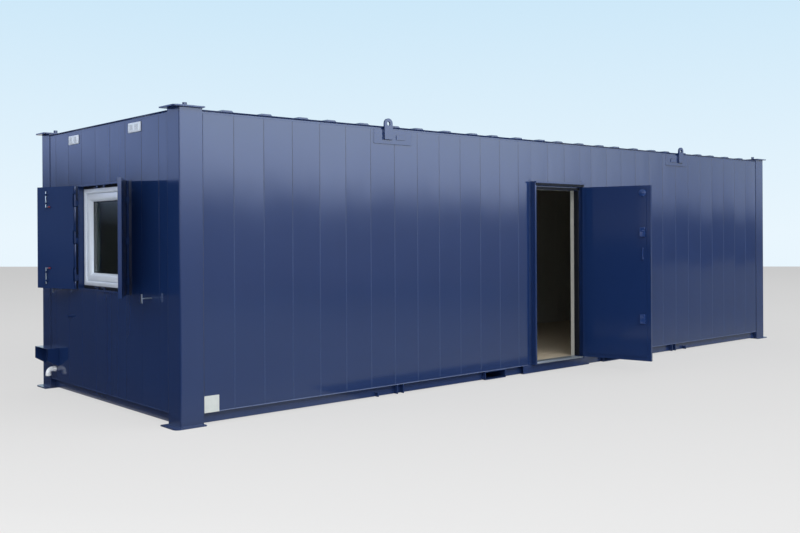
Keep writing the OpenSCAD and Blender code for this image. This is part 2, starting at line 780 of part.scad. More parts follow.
// The bolts ride in guides on the left shutter's inside face
bolt_along = shutter_gap + shutter_w - bolt_in;
bolt_axis = shutter_t / 2 + bolt_off;
upper_tip = window_top - bolt_tip_drop;
lower_tip = window_z + bolt_tip_drop;
module on_left_shutter() shutter_at(1, left_open) children();

// The inner guide leaves the handle room to slide
guide_low = guide_h + handle_d + bolt_travel + guide_free;
module guide_pair() {
    for (z = [-guide_inset, guide_low - bolt_l]) translate([0, 0, z - guide_h / 2]) difference() {
        translate([-guide_w / 2, -bolt_off, -guide_h / 2])
            cube([guide_w, bolt_off + bolt_d, guide_h]);
        translate([0, 0, -guide_h]) cylinder(d = bolt_d + 2 * guide_clear, h = 2 * guide_h);
    }
    translate([-guide_w, -bolt_off, -bolt_l]) cube([2 * guide_w, guide_base_t, bolt_l - guide_inset / 2]);
}
module bolt_guides() {
    color("midnightblue") on_left_shutter() {
        translate([bolt_along, bolt_axis, upper_tip]) guide_pair();
        translate([bolt_along, bolt_axis, lower_tip]) mirror([0, 0, 1]) guide_pair();
    }
}
module bolt_rod() {
    translate([0, 0, -bolt_l]) cylinder(d = bolt_d, h = bolt_l);
    translate([0, 0, handle_d / 2 - bolt_l]) rotate([0, -90, 0]) cylinder(d = handle_d, h = handle_l);
}
module upper_bolt()
    color("silver") on_left_shutter() translate([bolt_along, bolt_axis, upper_tip]) bolt_rod();
module lower_bolt()
    color("silver") on_left_shutter()
        translate([bolt_along, bolt_axis, lower_tip]) mirror([0, 0, 1]) bolt_rod();

// Angle brackets in the head and sill of the opening that take the bolts' ends
keeper_back = 20;
module keeper(u) {
    plate_z = upper_tip + keeper_rise;
    difference() {
        union() {
            box([u - keeper_w / 2, -rim_out, plate_z],
                [u + keeper_w / 2, keeper_back, plate_z + keeper_t]);
            box([u - keeper_w / 2, keeper_back - keeper_t, plate_z],
                [u + keeper_w / 2, keeper_back, window_top - liner_t]);
        }
        translate([u, bolt_axis - shutter_pin_out, plate_z - overrun])
            cylinder(d = bolt_d + 2 * keeper_clear, h = keeper_t + 2 * overrun);
    }
}
module bolt_keepers() {
    color("midnightblue") on_left_end() for (u = [window_mid, window_mid + shutter_pin_u - bolt_along]) {
        keeper(u);
        translate([0, 0, window_z + window_top]) mirror([0, 0, 1]) keeper(u);
    }
}

// Hold-back catches: a stem out of the wall with an upright head
catch_d = 12;
catch_head_h = 78;
catch_head_w = 12;
catch_drop = 14;
module shutter_catches() {
    color("silver") on_left_end() for (side = [1, -1])
        translate([window_mid + side * catch_x, 0, shutter_z0 - catch_drop]) {
            translate([0, wall_setback, 0]) rotate([90, 0, 0])
                cylinder(d = catch_d, h = wall_setback + catch_out - overrun);
            translate([-catch_head_w / 2, -catch_out, -catch_head_h / 2])
                cube([catch_head_w, catch_head_w, catch_head_h]);
        }
}

// Cable hood: a top and two cheeks with cut-back lower corners, open in front and below
hood_t = 4;
hood_cut_share = 0.66;
hood_end_gap = 68;
hood_u1 = cabin_w - hood_end_gap;
hood_u0 = hood_u1 - hood_w;
module hood_cheek(u) {
    translate([u, 0, 0]) rotate([90, 0, 90]) linear_extrude(hood_t)
        polygon([[0, hood_top - hood_h], [0, hood_top], [-hood_d, hood_top],
            [-hood_d, hood_top - hood_cut_share * hood_h]]);
}
module cable_hood() {
    color("midnightblue") on_left_end() {
        hood_cheek(hood_u0);
        hood_cheek(hood_u1 - hood_t);
        box([hood_u0, -hood_d, hood_top - hood_t], [hood_u1, 0, hood_top]);
        box([hood_u0, 0, hood_top - hood_h], [cabin_w - post_w, wall_setback, hood_top]);
    }
}

// Waste pipe: out of the wall, round a bend and down
waste_wall = 3;
waste_bend_r = 40;
waste_leg = 28;
waste_u = hood_u1 - waste_in;
waste_z = hood_top - hood_h - waste_drop;
module pipe(h) difference() {
    cylinder(d = waste_d, h = h);
    translate([0, 0, -overrun]) cylinder(d = waste_d - 2 * waste_wall, h = h + 2 * overrun);
}
module waste_elbow() {
    color("white") on_left_end() translate([waste_u, 0, waste_z]) {
        translate([0, wall_setback, 0]) rotate([90, 0, 0]) pipe(wall_setback + waste_out - waste_bend_r);
        translate([0, waste_bend_r - waste_out, -waste_bend_r]) rotate([0, 0, -90]) rotate([90, 0, 0])
            rotate_extrude(angle = 90) translate([waste_bend_r, 0]) difference() {
                circle(d = waste_d);
                circle(d = waste_d - 2 * waste_wall);
            }
        translate([0, -waste_out, -waste_bend_r - waste_leg]) pipe(waste_leg);
    }
}

// Overflow spout: a short pipe on a round flange
spout_d = 22;
spout_flange_d = 44;
spout_flange_t = 4;
spout_l = 34;
spout_u = cabin_w - spout_in;
module overflow_spout() {
    color("midnightblue") on_left_end() translate([spout_u, wall_setback, spout_z]) rotate([90, 0, 0]) {
        cylinder(d = spout_flange_d, h = spout_flange_t);
        difference() {
            cylinder(d = spout_d, h = wall_setback + spout_l);
            translate([0, 0, spout_flange_t])
                cylinder(d = spout_d - 2 * waste_wall, h = wall_setback + spout_l);
        }
    }
}

corner_posts();
cap_plates();
foot_plates();
base_rails();
rail_gussets();
fork_pockets();
floor_bearers();
floor_deck();
front_wall_sides();
front_wall_over_door();
rear_wall();
left_wall_sides();
left_wall_over_window();
left_wall_under_window();
right_wall();
wall_linings();
ceiling();
roof_sheet();
eaves_trim();
eye_pads();
lifting_eyes();
door_jambs();
door_head();
door_threshold();
door_apron();
door_reveal();
door_leaf();
door_frame_hinges();
door_leaf_hinges();
door_lock_gear();
window_surround();
window_frame();
window_sash();
window_glass();
left_shutter();
right_shutter();
shutter_frame_hinges();
bolt_guides();
upper_bolt();
lower_bolt();
bolt_keepers();
shutter_catches();
cable_hood();
waste_elbow();
overflow_spout();
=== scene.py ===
import json
import math

import bmesh
import bpy
from mathutils import Matrix, Vector


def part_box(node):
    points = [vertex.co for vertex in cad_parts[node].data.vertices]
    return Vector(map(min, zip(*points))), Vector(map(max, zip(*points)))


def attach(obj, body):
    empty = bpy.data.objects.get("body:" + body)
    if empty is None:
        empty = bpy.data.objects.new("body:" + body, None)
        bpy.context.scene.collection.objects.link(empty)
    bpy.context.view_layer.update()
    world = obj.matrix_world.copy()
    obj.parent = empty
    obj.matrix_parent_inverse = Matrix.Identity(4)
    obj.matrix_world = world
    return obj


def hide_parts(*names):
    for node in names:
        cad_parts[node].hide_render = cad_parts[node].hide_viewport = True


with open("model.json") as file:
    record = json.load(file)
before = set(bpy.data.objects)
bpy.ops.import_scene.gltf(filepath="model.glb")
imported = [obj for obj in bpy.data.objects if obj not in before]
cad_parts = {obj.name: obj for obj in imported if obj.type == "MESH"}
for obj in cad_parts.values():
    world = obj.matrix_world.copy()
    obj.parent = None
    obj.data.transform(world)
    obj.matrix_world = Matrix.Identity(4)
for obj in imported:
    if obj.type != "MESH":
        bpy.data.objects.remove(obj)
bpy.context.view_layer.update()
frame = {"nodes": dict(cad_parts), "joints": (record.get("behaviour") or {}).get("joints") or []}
nodes = frame["nodes"]
scene = bpy.context.scene
scene.view_settings.view_transform = "Standard"

# Camera
# A stills camera at eye height, eight metres off the near corner post, with the long wall running off
# to the right. The frame reaches further below the eye line than above it, so the lens is shifted down.
PHOTO_W, PHOTO_H = 800, 533
EYE = Vector((-3.7822, -7.0700, 1.6292))
EYE_YAW, EYE_PITCH, EYE_ROLL = (math.radians(a) for a in (48.688, -0.044, -0.301))
FOCAL_PX = 940.85
EYE_LINE_ROW = 232.71
SENSOR_MM = 36

ahead = Vector((math.cos(EYE_PITCH) * math.cos(EYE_YAW), math.cos(EYE_PITCH) * math.sin(EYE_YAW),
                math.sin(EYE_PITCH)))
level_right = Vector((math.sin(EYE_YAW), -math.cos(EYE_YAW), 0))
level_up = level_right.cross(ahead)
right = math.cos(EYE_ROLL) * level_right + math.sin(EYE_ROLL) * level_up
up = math.cos(EYE_ROLL) * level_up - math.sin(EYE_ROLL) * level_right
bpy.ops.object.camera_add()
camera = bpy.context.object
camera.matrix_world = Matrix.Translation(EYE) @ Matrix((right, up, -ahead)).transposed().to_4x4()
camera.data.sensor_width = SENSOR_MM
camera.data.lens = FOCAL_PX * SENSOR_MM / PHOTO_W
camera.data.shift_y = (EYE_LINE_ROW - PHOTO_H / 2) / PHOTO_W
scene.camera = camera


# Studio
# A pale grey floor that ends before a pale blue backdrop, lit by an overhead softbox, a front fill and soft
# ambient light. Four graded panels and three ground cloths show only in gloss: they give the paint its sky,
# horizon and ground.
def linear(hex_code):
    """An sRGB hex colour as the linear RGBA that the shaders take."""
    parts = [int(hex_code[i:i + 2], 16) / 255 for i in (1, 3, 5)]
    return [c / 12.92 if c <= 0.04045 else ((c + 0.055) / 1.055) ** 2.4 for c in parts] + [1]


def add(tree, kind, values=(), links=(), **settings):
    """One node, with its settings, its unlinked sockets' values and the sockets that feed it."""
    node = tree.nodes.new(kind)
    for name, value in settings.items():
        setattr(node, name, value)
    for socket, value in dict(values).items():
        node.inputs[socket].default_value = value
    for socket, source in dict(links).items():
        tree.links.new(source, node.inputs[socket])
    return node


def set_stops(node, stops):
    """Gives a colour ramp its (place, linear RGBA) stops."""
    ramp = node.color_ramp.elements
    while len(ramp) < len(stops):
        ramp.new(1.0)
    for element, (place, colour) in zip(ramp, stops):
        element.position = place
        element.color = colour


def seen_itself(tree):
    """A socket that is 1 for the rays that look at the background: the camera's, and gloss and glass rays."""
    rays = add(tree, "ShaderNodeLightPath")
    seen = add(tree, "ShaderNodeMath",
               links={0: rays.outputs["Is Camera Ray"], 1: rays.outputs["Is Glossy Ray"]})
    seen = add(tree, "ShaderNodeMath",
               links={0: seen.outputs[0], 1: rays.outputs["Is Transmission Ray"]}, use_clamp=True)
    return seen.outputs[0]


SKY_STOPS = [(0.0, "#e9f6fe"), (0.24, "#cde8f9"), (1.0, "#bfe0f5")]
AMBIENT, AMBIENT_TINT = 0.5, "#f6f8fc"
world = bpy.data.worlds.new("pale_sky")
scene.world = world
world.use_nodes = True
tree = world.node_tree
tree.nodes.clear()
way = add(tree, "ShaderNodeTexCoord")
height = add(tree, "ShaderNodeSeparateXYZ", links={0: way.outputs["Generated"]})
sky = add(tree, "ShaderNodeValToRGB", links={0: height.outputs["Z"]})
set_stops(sky, [(place, linear(colour)) for place, colour in SKY_STOPS])
backdrop = add(tree, "ShaderNodeBackground", {"Strength": 1.0}, {"Color": sky.outputs[0]})
soft_fill = add(tree, "ShaderNodeBackground", {"Color": linear(AMBIENT_TINT), "Strength": AMBIENT})
either = add(tree, "ShaderNodeMixShader",
             links={0: seen_itself(tree), 1: soft_fill.outputs[0], 2: backdrop.outputs[0]})
add(tree, "ShaderNodeOutputWorld", links={"Surface": either.outputs[0]})


def softbox(name, place, turn, width, height, radiance):
    """A rectangular lamp that is not seen itself, of an even radiance."""
    bpy.ops.object.light_add(type="AREA", location=place, rotation=turn)
    light = bpy.context.object
    light.name = name
    light.visible_camera = light.visible_glossy = False
    light.data.shape = "RECTANGLE"
    light.data.size, light.data.size_y = width, height
    light.data.energy = radiance * math.pi * width * height


softbox("overhead_softbox", (4, -1, 14), (0, 0, 0), width=50, height=40, radiance=0.38)
softbox("front_fill", (3, -15, 15), (math.radians(48), 0, 0), width=56, height=9, radiance=3.3)

FLOOR_FAR, FLOOR_TURN = 44.3, math.radians(-7.8)
FLOOR_W, FLOOR_L = 160, 110
FLOOR_STOPS = [(5.2, "#eeeeee"), (5.7, "#eaeaea"), (7.05, "#e5e5e5"), (9.2, "#dfdfdf"), (13.1, "#d9d9d9"),
               (22.8, "#d3d3d3"), (36.2, "#d0d0d0"), (44.3, "#cfcfcf")]
FLOOR_GREY, FLOOR_LIFT = "#d2d2d2", 0.82
floor_way = EYE_YAW + FLOOR_TURN
floor_middle = (EYE + Vector((math.cos(EYE_YAW), math.sin(EYE_YAW), 0)) * FLOOR_FAR
                - Vector((math.cos(floor_way), math.sin(floor_way), 0)) * FLOOR_L / 2)
bpy.ops.mesh.primitive_plane_add(size=1, location=(floor_middle.x, floor_middle.y, 0),
                                 rotation=(0, 0, floor_way - math.pi / 2))
floor = bpy.context.object
floor.name = "studio_floor"
floor.scale = (FLOOR_W, FLOOR_L, 1)
bpy.ops.object.transform_apply(location=False, rotation=False, scale=True)
# Matt floor paint: it takes the soft shadow and pales towards the camera, with no gloss of its own.
floor_paint = bpy.data.materials.new("matt_studio_floor")
floor_paint.use_nodes = True
tree = floor_paint.node_tree
shader = tree.nodes["Principled BSDF"]
shader.inputs["Base Color"].default_value = linear(FLOOR_GREY)
shader.inputs["Roughness"].default_value = 0.9
shader.inputs["Specular IOR Level"].default_value = 0.1
where = add(tree, "ShaderNodeTexCoord")
depth = add(tree, "ShaderNodeSeparateXYZ", links={0: where.outputs["Object"]})
share = add(tree, "ShaderNodeMapRange",
            {"From Min": FLOOR_L / 2 - FLOOR_FAR, "From Max": FLOOR_L / 2}, {"Value": depth.outputs["Y"]})
shade = add(tree, "ShaderNodeValToRGB", links={0: share.outputs[0]})
set_stops(shade, [(d / FLOOR_FAR, linear(c)) for d, c in FLOOR_STOPS])
lift = add(tree, "ShaderNodeMath", {1: FLOOR_LIFT}, {0: seen_itself(tree)}, operation="MULTIPLY")
pale = add(tree, "ShaderNodeEmission", {"Strength": 1.0}, {"Color": shade.outputs[0]})
either = add(tree, "ShaderNodeMixShader",
             links={0: lift.outputs[0], 1: shader.outputs[0], 2: pale.outputs[0]})
tree.links.new(either.outputs[0], tree.nodes["Material Output"].inputs["Surface"])
floor.data.materials.append(floor_paint)


def gloss_panel(name, low, high, along, along_stops, rise, rise_stops, strength, slant=0.0):
    """A flat lit panel that only gloss sees, graded along one axis and up another, a little slanted."""
    spans = [b - a for a, b in zip(low, high)]
    flat = spans.index(0)
    turn = ((0, math.radians(90), 0), (math.radians(90), 0, 0), (0, 0, 0))[flat]
    bpy.ops.mesh.primitive_plane_add(size=1, rotation=turn, location=[(a + b) / 2 for a, b in zip(low, high)])
    panel = bpy.context.object
    panel.name = name
    panel.scale = ((spans[2], spans[1], 1), (spans[0], spans[2], 1), (spans[0], spans[1], 1))[flat]
    bpy.ops.object.transform_apply()
    panel.visible_camera = panel.visible_diffuse = panel.visible_shadow = False
    glow = bpy.data.materials.new(name + "_cloth")
    glow.use_nodes = True
    tree = glow.node_tree
    tree.nodes.clear()
    where = add(tree, "ShaderNodeTexCoord")
    slanted = add(tree, "ShaderNodeMapping", {"Rotation": (0, -slant, 0)},
                  {"Vector": where.outputs["Object"]})
    place = add(tree, "ShaderNodeSeparateXYZ", links={0: slanted.outputs[0]})
    ramps = []
    for axis, stops in ((along, along_stops), (rise, rise_stops)):
        first, last = stops[0][0], stops[-1][0]
        share = add(tree, "ShaderNodeMapRange", {"From Min": first, "From Max": last},
                    {"Value": place.outputs[axis]})
        ramp = add(tree, "ShaderNodeValToRGB", links={0: share.outputs[0]})
        set_stops(ramp, [((p - first) / (last - first), list(c) + [1]) for p, c in stops])
        ramps.append(ramp.outputs[0])
    colour = add(tree, "ShaderNodeMix", {0: 1.0}, {6: ramps[0], 7: ramps[1]},
                 data_type="RGBA", blend_type="MULTIPLY")
    lit = add(tree, "ShaderNodeEmission", {"Strength": strength}, {"Color": colour.outputs[2]})
    add(tree, "ShaderNodeOutputMaterial", links={"Surface": lit.outputs[0]})
    panel.data.materials.append(glow)


def greys(*stops):
    """Stops of neutral grey, from (place, level) pairs."""
    return [(place, (level, level, level)) for place, level in stops]


def haze(ground, blue, *stops):
    """Stops of a sky that rises from the ground's level to blue, from (height, level) pairs."""
    return [(place, [min(1.0, ground + level * c) for c in blue]) for place, level in stops]


LEFT, RIGHT, FRONT, BACK = -36, 60, -16, 20
PANEL_FOOT, PANEL_TOP, CLOTH_Z, DOOR_CLOTH_Z = 0.05, 12, 0.004, 0.006
EVEN = greys((LEFT, 1), (BACK, 1))
gloss_panel("front_sky_panel", (LEFT, FRONT, PANEL_FOOT), (RIGHT, FRONT, PANEL_TOP),
            "X", greys((0, 1.0), (10, 1.0), (14, 0.95), (18, 0.84), (22, 0.73), (25, 0.58), (27, 0.5),
                       (30, 0.39), (32, 0.31), (34, 0.29), (RIGHT, 0.28)),
            "Z", haze(0.095, (0.65, 0.76, 1.0), (0.0, 0.0), (1.6, 0.04), (2.3, 0.08), (2.6, 0.16),
                      (3.0, 0.44), (3.4, 0.72), (3.7, 0.82), (4.4, 0.93), (5.2, 1.0)),
            strength=5.9, slant=0.014)
gloss_panel("end_sky_panel", (LEFT, BACK, PANEL_FOOT), (1, BACK, PANEL_TOP),
            "X", greys((LEFT, 0.2), (-19, 0.22), (-13, 1.0), (-10, 1.0), (-8.5, 0.94), (1, 0.94)),
            "Z", haze(0.012, (0.47, 0.6, 1.0), (0.0, 0.0), (3.05, 0.02), (3.6, 0.14), (4.25, 0.42),
                      (4.75, 0.68), (5.35, 0.93), (6.1, 1.0)),
            strength=1.85, slant=-0.15)
gloss_panel("far_left_panel", (LEFT, FRONT, PANEL_FOOT), (LEFT, BACK, PANEL_TOP), "Y", EVEN,
            "Z", greys((0.0, 0.02), (0.8, 0.06), (1.3, 0.5), (1.7, 1.0), (2.4, 0.9), (3.4, 0.6),
                       (PANEL_TOP, 0.5)), strength=1.4)
gloss_panel("far_right_panel", (RIGHT, FRONT, PANEL_FOOT), (RIGHT, BACK, PANEL_TOP), "Y", EVEN,
            "Z", [(z, (0.32, 0.37, 0.46)) for z in (0, PANEL_TOP)], strength=1.0)
gloss_panel("front_ground_cloth", (LEFT, FRONT, CLOTH_Z), (RIGHT, 0.3, CLOTH_Z),
            "X", greys((LEFT, 0.12), (-0.9, 0.12), (-0.1, 1.0), (5, 1.0), (13, 0.6), (RIGHT, 0.55)),
            "Y", [(y, (0.69, 0.72, 0.66)) for y in (FRONT, 0.3)], strength=1.0)
gloss_panel("door_ground_cloth", (2.0, -0.95, DOOR_CLOTH_Z), (5.6, 0.25, DOOR_CLOTH_Z), "X", EVEN,
            "Y", [(y, (0.13, 0.14, 0.15)) for y in (-1, 1)], strength=1.0)
gloss_panel("end_ground_cloth", (LEFT, -0.15, CLOTH_Z), (-0.02, BACK, CLOTH_Z), "X", EVEN,
            "Y", greys((-1, 0.06), (BACK, 0.06)), strength=1.0)


# Base
# Welded steel: folded corner posts, foot and cap plates, channel rails, gussets and fork pockets.
# All of it is sprayed with the same hard gloss navy, over ripple weld beads where posts meet plates.
NAVY, NAVY_THIN, NAVY_BRUSHED = "#172c58", "#1b315e", "#172c56"
# The dark seam colour is painted shade in the seam grooves where the wall mirrors the sky; the other seam
# colour is a paler tone for the seams low down.
ROAD_DUST, SEAM_PAINTED_SHADE, SEAM_PALE_LOW = "#5d6068", "#101f42", "#2d416b"
CLOUD_MM, SPECK_MM, WAVE_MM, WAVE_RISE_MM = 714, 62.5, 250, 909
PAINT_IOR, GLOSS_LEAST, GLOSS_MOST = 1.5, 0.07, 0.11
SPLASH_TOP, SPLASH_SHARE = 0.35, 0.1
SEAM_OUT, SEAM_IN, SEAM_DULL = 0.007, 0.003, 0.1
PALE_SEAM_TOP, SEAM_SHADE_FOOT = 1.5, 2.1
TOUCHED_TOP, TOUCHED_CLEAR, TOUCHED_FADE, TOUCHED_DULL = 2.2, 2.24, 0.02, 0.3
SHEET_LEAN, SHEET_CROWN, SHEET_WAVE = 0.005, -0.003, 0.003


# Sprayed gloss enamel mirrors the sky and the ground with a soft edge, drifts a little in tone where the coat
# is thin, and goes dull and grey where road dust lies at the foot.
def navy_gloss(name, bays=None, edge_mm=0.0, tone=1.0, shine=0.5, blur=0.0):
    """bays gives (axis, start, pitch, fold, brushed, seam colour low down) of a wall's sheets, each of which
    stands its own
    way: past fold they are set out backwards, from brushed on the paint was touched in by brush, and the last
    is the paler colour of the seams low down; higher up the seams blend to a painted shade colour."""
    material = bpy.data.materials.new(name)
    material.use_nodes = True
    tree = material.node_tree
    shader = tree.nodes["Principled BSDF"]
    shader.inputs["IOR"].default_value = PAINT_IOR
    shader.inputs["Specular IOR Level"].default_value = shine
    where = add(tree, "ShaderNodeTexCoord")
    place = add(tree, "ShaderNodeSeparateXYZ", links={0: where.outputs["Object"]})
    clouds = add(tree, "ShaderNodeTexNoise", {"Scale": 1000 / CLOUD_MM, "Detail": 4.0, "Roughness": 0.55},
                 {"Vector": where.outputs["Object"]})
    coat = add(tree, "ShaderNodeMix", {6: [c * tone for c in linear(NAVY)[:3]] + [1],
                                       7: [c * tone for c in linear(NAVY_THIN)[:3]] + [1]},
               {0: clouds.outputs["Fac"]}, data_type="RGBA")
    splash = add(tree, "ShaderNodeMapRange",
                 {"From Min": 0.0, "From Max": SPLASH_TOP, "To Min": SPLASH_SHARE, "To Max": 0.0},
                 {"Value": place.outputs["Z"]})
    specks = add(tree, "ShaderNodeTexNoise", {"Scale": 1000 / SPECK_MM, "Detail": 6.0, "Roughness": 0.65},
                 {"Vector": where.outputs["Object"]})
    dust = add(tree, "ShaderNodeMath", links={0: splash.outputs[0], 1: specks.outputs["Fac"]},
               operation="MULTIPLY")
    dirty = add(tree, "ShaderNodeMix", {7: linear(ROAD_DUST)}, {0: dust.outputs[0], 6: coat.outputs[2]},
                data_type="RGBA")
    gloss = add(tree, "ShaderNodeMapRange", {"To Min": GLOSS_LEAST + blur, "To Max": GLOSS_MOST + blur},
                {"Value": clouds.outputs["Fac"]})
    dull = add(tree, "ShaderNodeMath", links={0: gloss.outputs[0], 1: dust.outputs[0]})
    if edge_mm:
        soft_edge = add(tree, "ShaderNodeBevel", {"Radius": edge_mm / 1000}, samples=4)
        tree.links.new(soft_edge.outputs[0], shader.inputs["Normal"])
    if bays:
        axis, start, pitch, fold, brushed, low_seam = bays
        along = place.outputs[axis]
        if fold:
            along = add(tree, "ShaderNodeMath", {1: fold}, {0: along}, operation="SUBTRACT")
            along = add(tree, "ShaderNodeMath", links={0: along.outputs[0]}, operation="ABSOLUTE")
            along = add(tree, "ShaderNodeMath", {0: fold}, {1: along.outputs[0]}, operation="SUBTRACT")
            along = along.outputs[0]
        bay = add(tree, "ShaderNodeMath", {1: start}, {0: along}, operation="SUBTRACT")
        bay = add(tree, "ShaderNodeMath", {1: pitch}, {0: bay.outputs[0]}, operation="DIVIDE")
        across = add(tree, "ShaderNodeMath", links={0: bay.outputs[0]}, operation="FRACT")
        number = add(tree, "ShaderNodeMath", links={0: bay.outputs[0]}, operation="FLOOR")
        chance = add(tree, "ShaderNodeTexWhiteNoise", links={"W": number.outputs[0]}, noise_dimensions="1D")
        lean = add(tree, "ShaderNodeMapRange", {"To Min": -SHEET_LEAN, "To Max": SHEET_LEAN},
                   {"Value": chance.outputs["Value"]})
        lean = add(tree, "ShaderNodeMath", links={0: lean.outputs[0], 1: place.outputs["Z"]},
                   operation="MULTIPLY")
        away = add(tree, "ShaderNodeMath", {1: 0.5}, {0: across.outputs[0]}, operation="SUBTRACT")
        beside = add(tree, "ShaderNodeMath", links={0: away.outputs[0]}, operation="ABSOLUTE")
        seam = add(tree, "ShaderNodeMapRange",
                   {"From Min": 0.5 - SEAM_OUT / pitch, "From Max": 0.5 - SEAM_IN / pitch},
                   {"Value": beside.outputs[0]})
        # Painted shade: the seam grooves blend from a paler tone low down to a near-black navy up high, where
        # the gloss beside them mirrors the sky.
        upper = add(tree, "ShaderNodeMapRange", {"From Min": PALE_SEAM_TOP, "From Max": SEAM_SHADE_FOOT},
                    {"Value": place.outputs["Z"]})
        groove = add(tree, "ShaderNodeMix", {6: linear(low_seam), 7: linear(SEAM_PAINTED_SHADE)}, {0: upper.outputs[0]},
                     data_type="RGBA")
        dirty = add(tree, "ShaderNodeMix",
                    links={0: seam.outputs[0], 6: dirty.outputs[2], 7: groove.outputs[2]}, data_type="RGBA")
        dull = add(tree, "ShaderNodeMath", {1: SEAM_DULL}, {0: seam.outputs[0], 2: dull.outputs[0]},
                   operation="MULTIPLY_ADD")
        if brushed:
            touched = add(tree, "ShaderNodeMapRange",
                          {"From Min": brushed, "From Max": brushed + TOUCHED_FADE}, {"Value": along})
            below = add(tree, "ShaderNodeMapRange", {"From Min": TOUCHED_CLEAR, "From Max": TOUCHED_TOP},
                        {"Value": place.outputs["Z"]})
            touched = add(tree, "ShaderNodeMath", links={0: touched.outputs[0], 1: below.outputs[0]},
                          operation="MULTIPLY")
            dirty = add(tree, "ShaderNodeMix", {7: linear(NAVY_BRUSHED)},
                        {0: touched.outputs[0], 6: dirty.outputs[2]}, data_type="RGBA")
            dull = add(tree, "ShaderNodeMath", {1: TOUCHED_DULL}, {0: touched.outputs[0], 2: dull.outputs[0]},
                       operation="MULTIPLY_ADD")
        crown = add(tree, "ShaderNodeMath", links={0: away.outputs[0], 1: away.outputs[0]},
                    operation="MULTIPLY")
        crown = add(tree, "ShaderNodeMath", {1: SHEET_CROWN}, {0: crown.outputs[0], 2: lean.outputs[0]},
                    operation="MULTIPLY_ADD")
        stretch = add(tree, "ShaderNodeMapping",
                      {"Scale": (1000 / WAVE_MM, 1000 / WAVE_MM, 1000 / WAVE_RISE_MM)},
                      {"Vector": where.outputs["Object"]})
        waves = add(tree, "ShaderNodeTexNoise", {"Scale": 1.0, "Detail": 1.0}, {"Vector": stretch.outputs[0]})
        shape = add(tree, "ShaderNodeMath", {1: SHEET_WAVE}, {0: waves.outputs["Fac"], 2: crown.outputs[0]},
                    operation="MULTIPLY_ADD")
        sheet = add(tree, "ShaderNodeBump", {"Strength": 1.0, "Distance": 1.0}, {"Height": shape.outputs[0]})
        tree.links.new(sheet.outputs[0], shader.inputs["Normal"])
    tree.links.new(dirty.outputs[2], shader.inputs["Base Color"])
    tree.links.new(dull.outputs[0], shader.inputs["Roughness"])
    return material


def finish_nodes(material, *names):
    """Gives CAD nodes their finish."""
    for name in names:
        nodes[name].data.materials.clear()
        nodes[name].data.materials.append(material)


frame_paint = navy_gloss("gloss_navy_on_welded_frame", edge_mm=2.0, blur=0.08)
finish_nodes(frame_paint, "corner_posts", "cap_plates", "foot_plates", "base_rails", "rail_gussets",
             "fork_pockets")


def repeat(obj, count, step):
    """Repeats a mesh in a row, as one mesh."""
    row = obj.modifiers.new("row", "ARRAY")
    row.count = count
    row.use_relative_offset, row.use_constant_offset = False, True
    row.constant_offset_displace = step
    bpy.context.view_layer.objects.active = obj
    bpy.ops.object.modifier_apply(modifier=row.name)


def join(pieces):
    """Joins meshes into the first one."""
    bpy.ops.object.select_all(action="DESELECT")
    for piece in pieces:
        piece.select_set(True)
    bpy.context.view_layer.objects.active = pieces[0]
    bpy.ops.object.join()
    return bpy.context.object


def hand_in(obj, name, material, body="cabin", smooth=30):
    """Names a finished piece, puts its origin at the part's, and gives it its material and its body."""
    bpy.ops.object.select_all(action="DESELECT")
    obj.select_set(True)
    bpy.context.view_layer.objects.active = obj
    bpy.ops.object.transform_apply(location=True, rotation=True, scale=True)
    bpy.ops.object.shade_smooth_by_angle(angle=math.radians(smooth))
    obj.name = obj.data.name = name
    obj.data.materials.clear()
    obj.data.materials.append(material)
    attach(obj, body)
    return obj


BEAD_R, BEAD_STEP, BEAD_SMOOTH = 0.0045, 0.005, 60
BEAD_START_SHARE = 0.08


def weld_bead(start, end):
    """A row of overlapping drops from one point to another."""
    start, end = Vector(start), Vector(end)
    count = max(2, round((end - start).length / BEAD_STEP))
    bpy.ops.object.select_all(action="DESELECT")
    bpy.ops.mesh.primitive_uv_sphere_add(segments=8, ring_count=5, radius=BEAD_R, location=start)
    drop = bpy.context.object
    bpy.ops.object.transform_apply()
    repeat(drop, count, (end - start) / count)
    return drop


post_low, post_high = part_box("corner_posts")
wall_low, wall_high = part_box("front_wall_sides")
CABIN_L, CABIN_W, POST_W = post_high[0], post_high[1], wall_low[0]
beads = []
for x, run_x in ((0, POST_W), (CABIN_L, -POST_W)):
    for y, run_y in ((0, POST_W), (CABIN_W, -POST_W)):
        for z in (post_low[2], post_high[2]):
            beads.append(weld_bead((x + run_x * BEAD_START_SHARE, y, z), (x + run_x, y, z)))
            beads.append(weld_bead((x, y + run_y * BEAD_START_SHARE, z), (x, y + run_y, z)))
hand_in(join(beads), "post_weld_beads", frame_paint, smooth=BEAD_SMOOTH)

# Floor bearers
# Cold-rolled steel channels that span between the base rails and carry the deck.
# They are hot-dip galvanised and bolted up unpainted, out of sight under the floor.
SPANGLE_MM = 12.5
# Hot-dip zinc: flat grey crystals, each a little lighter or darker, and duller towards its edge.
galvanised = bpy.data.materials.new("galvanised_channel")
galvanised.use_nodes = True
tree = galvanised.node_tree
shader = tree.nodes["Principled BSDF"]
shader.inputs["Metallic"].default_value = 1.0
where = add(tree, "ShaderNodeTexCoord")
spangle = add(tree, "ShaderNodeTexVoronoi", {"Scale": 1000 / SPANGLE_MM}, {"Vector": where.outputs["Object"]})
zinc_grey = add(tree, "ShaderNodeMix", {6: linear("#8d9294"), 7: linear("#b4b9ba")},
                {0: spangle.outputs["Color"]}, data_type="RGBA")
tree.links.new(zinc_grey.outputs[2], shader.inputs["Base Color"])
zinc_dull = add(tree, "ShaderNodeMapRange", {"To Min": 0.38, "To Max": 0.6},
                {"Value": spangle.outputs["Distance"]})
tree.links.new(zinc_dull.outputs[0], shader.inputs["Roughness"])
finish_nodes(galvanised, "floor_bearers")

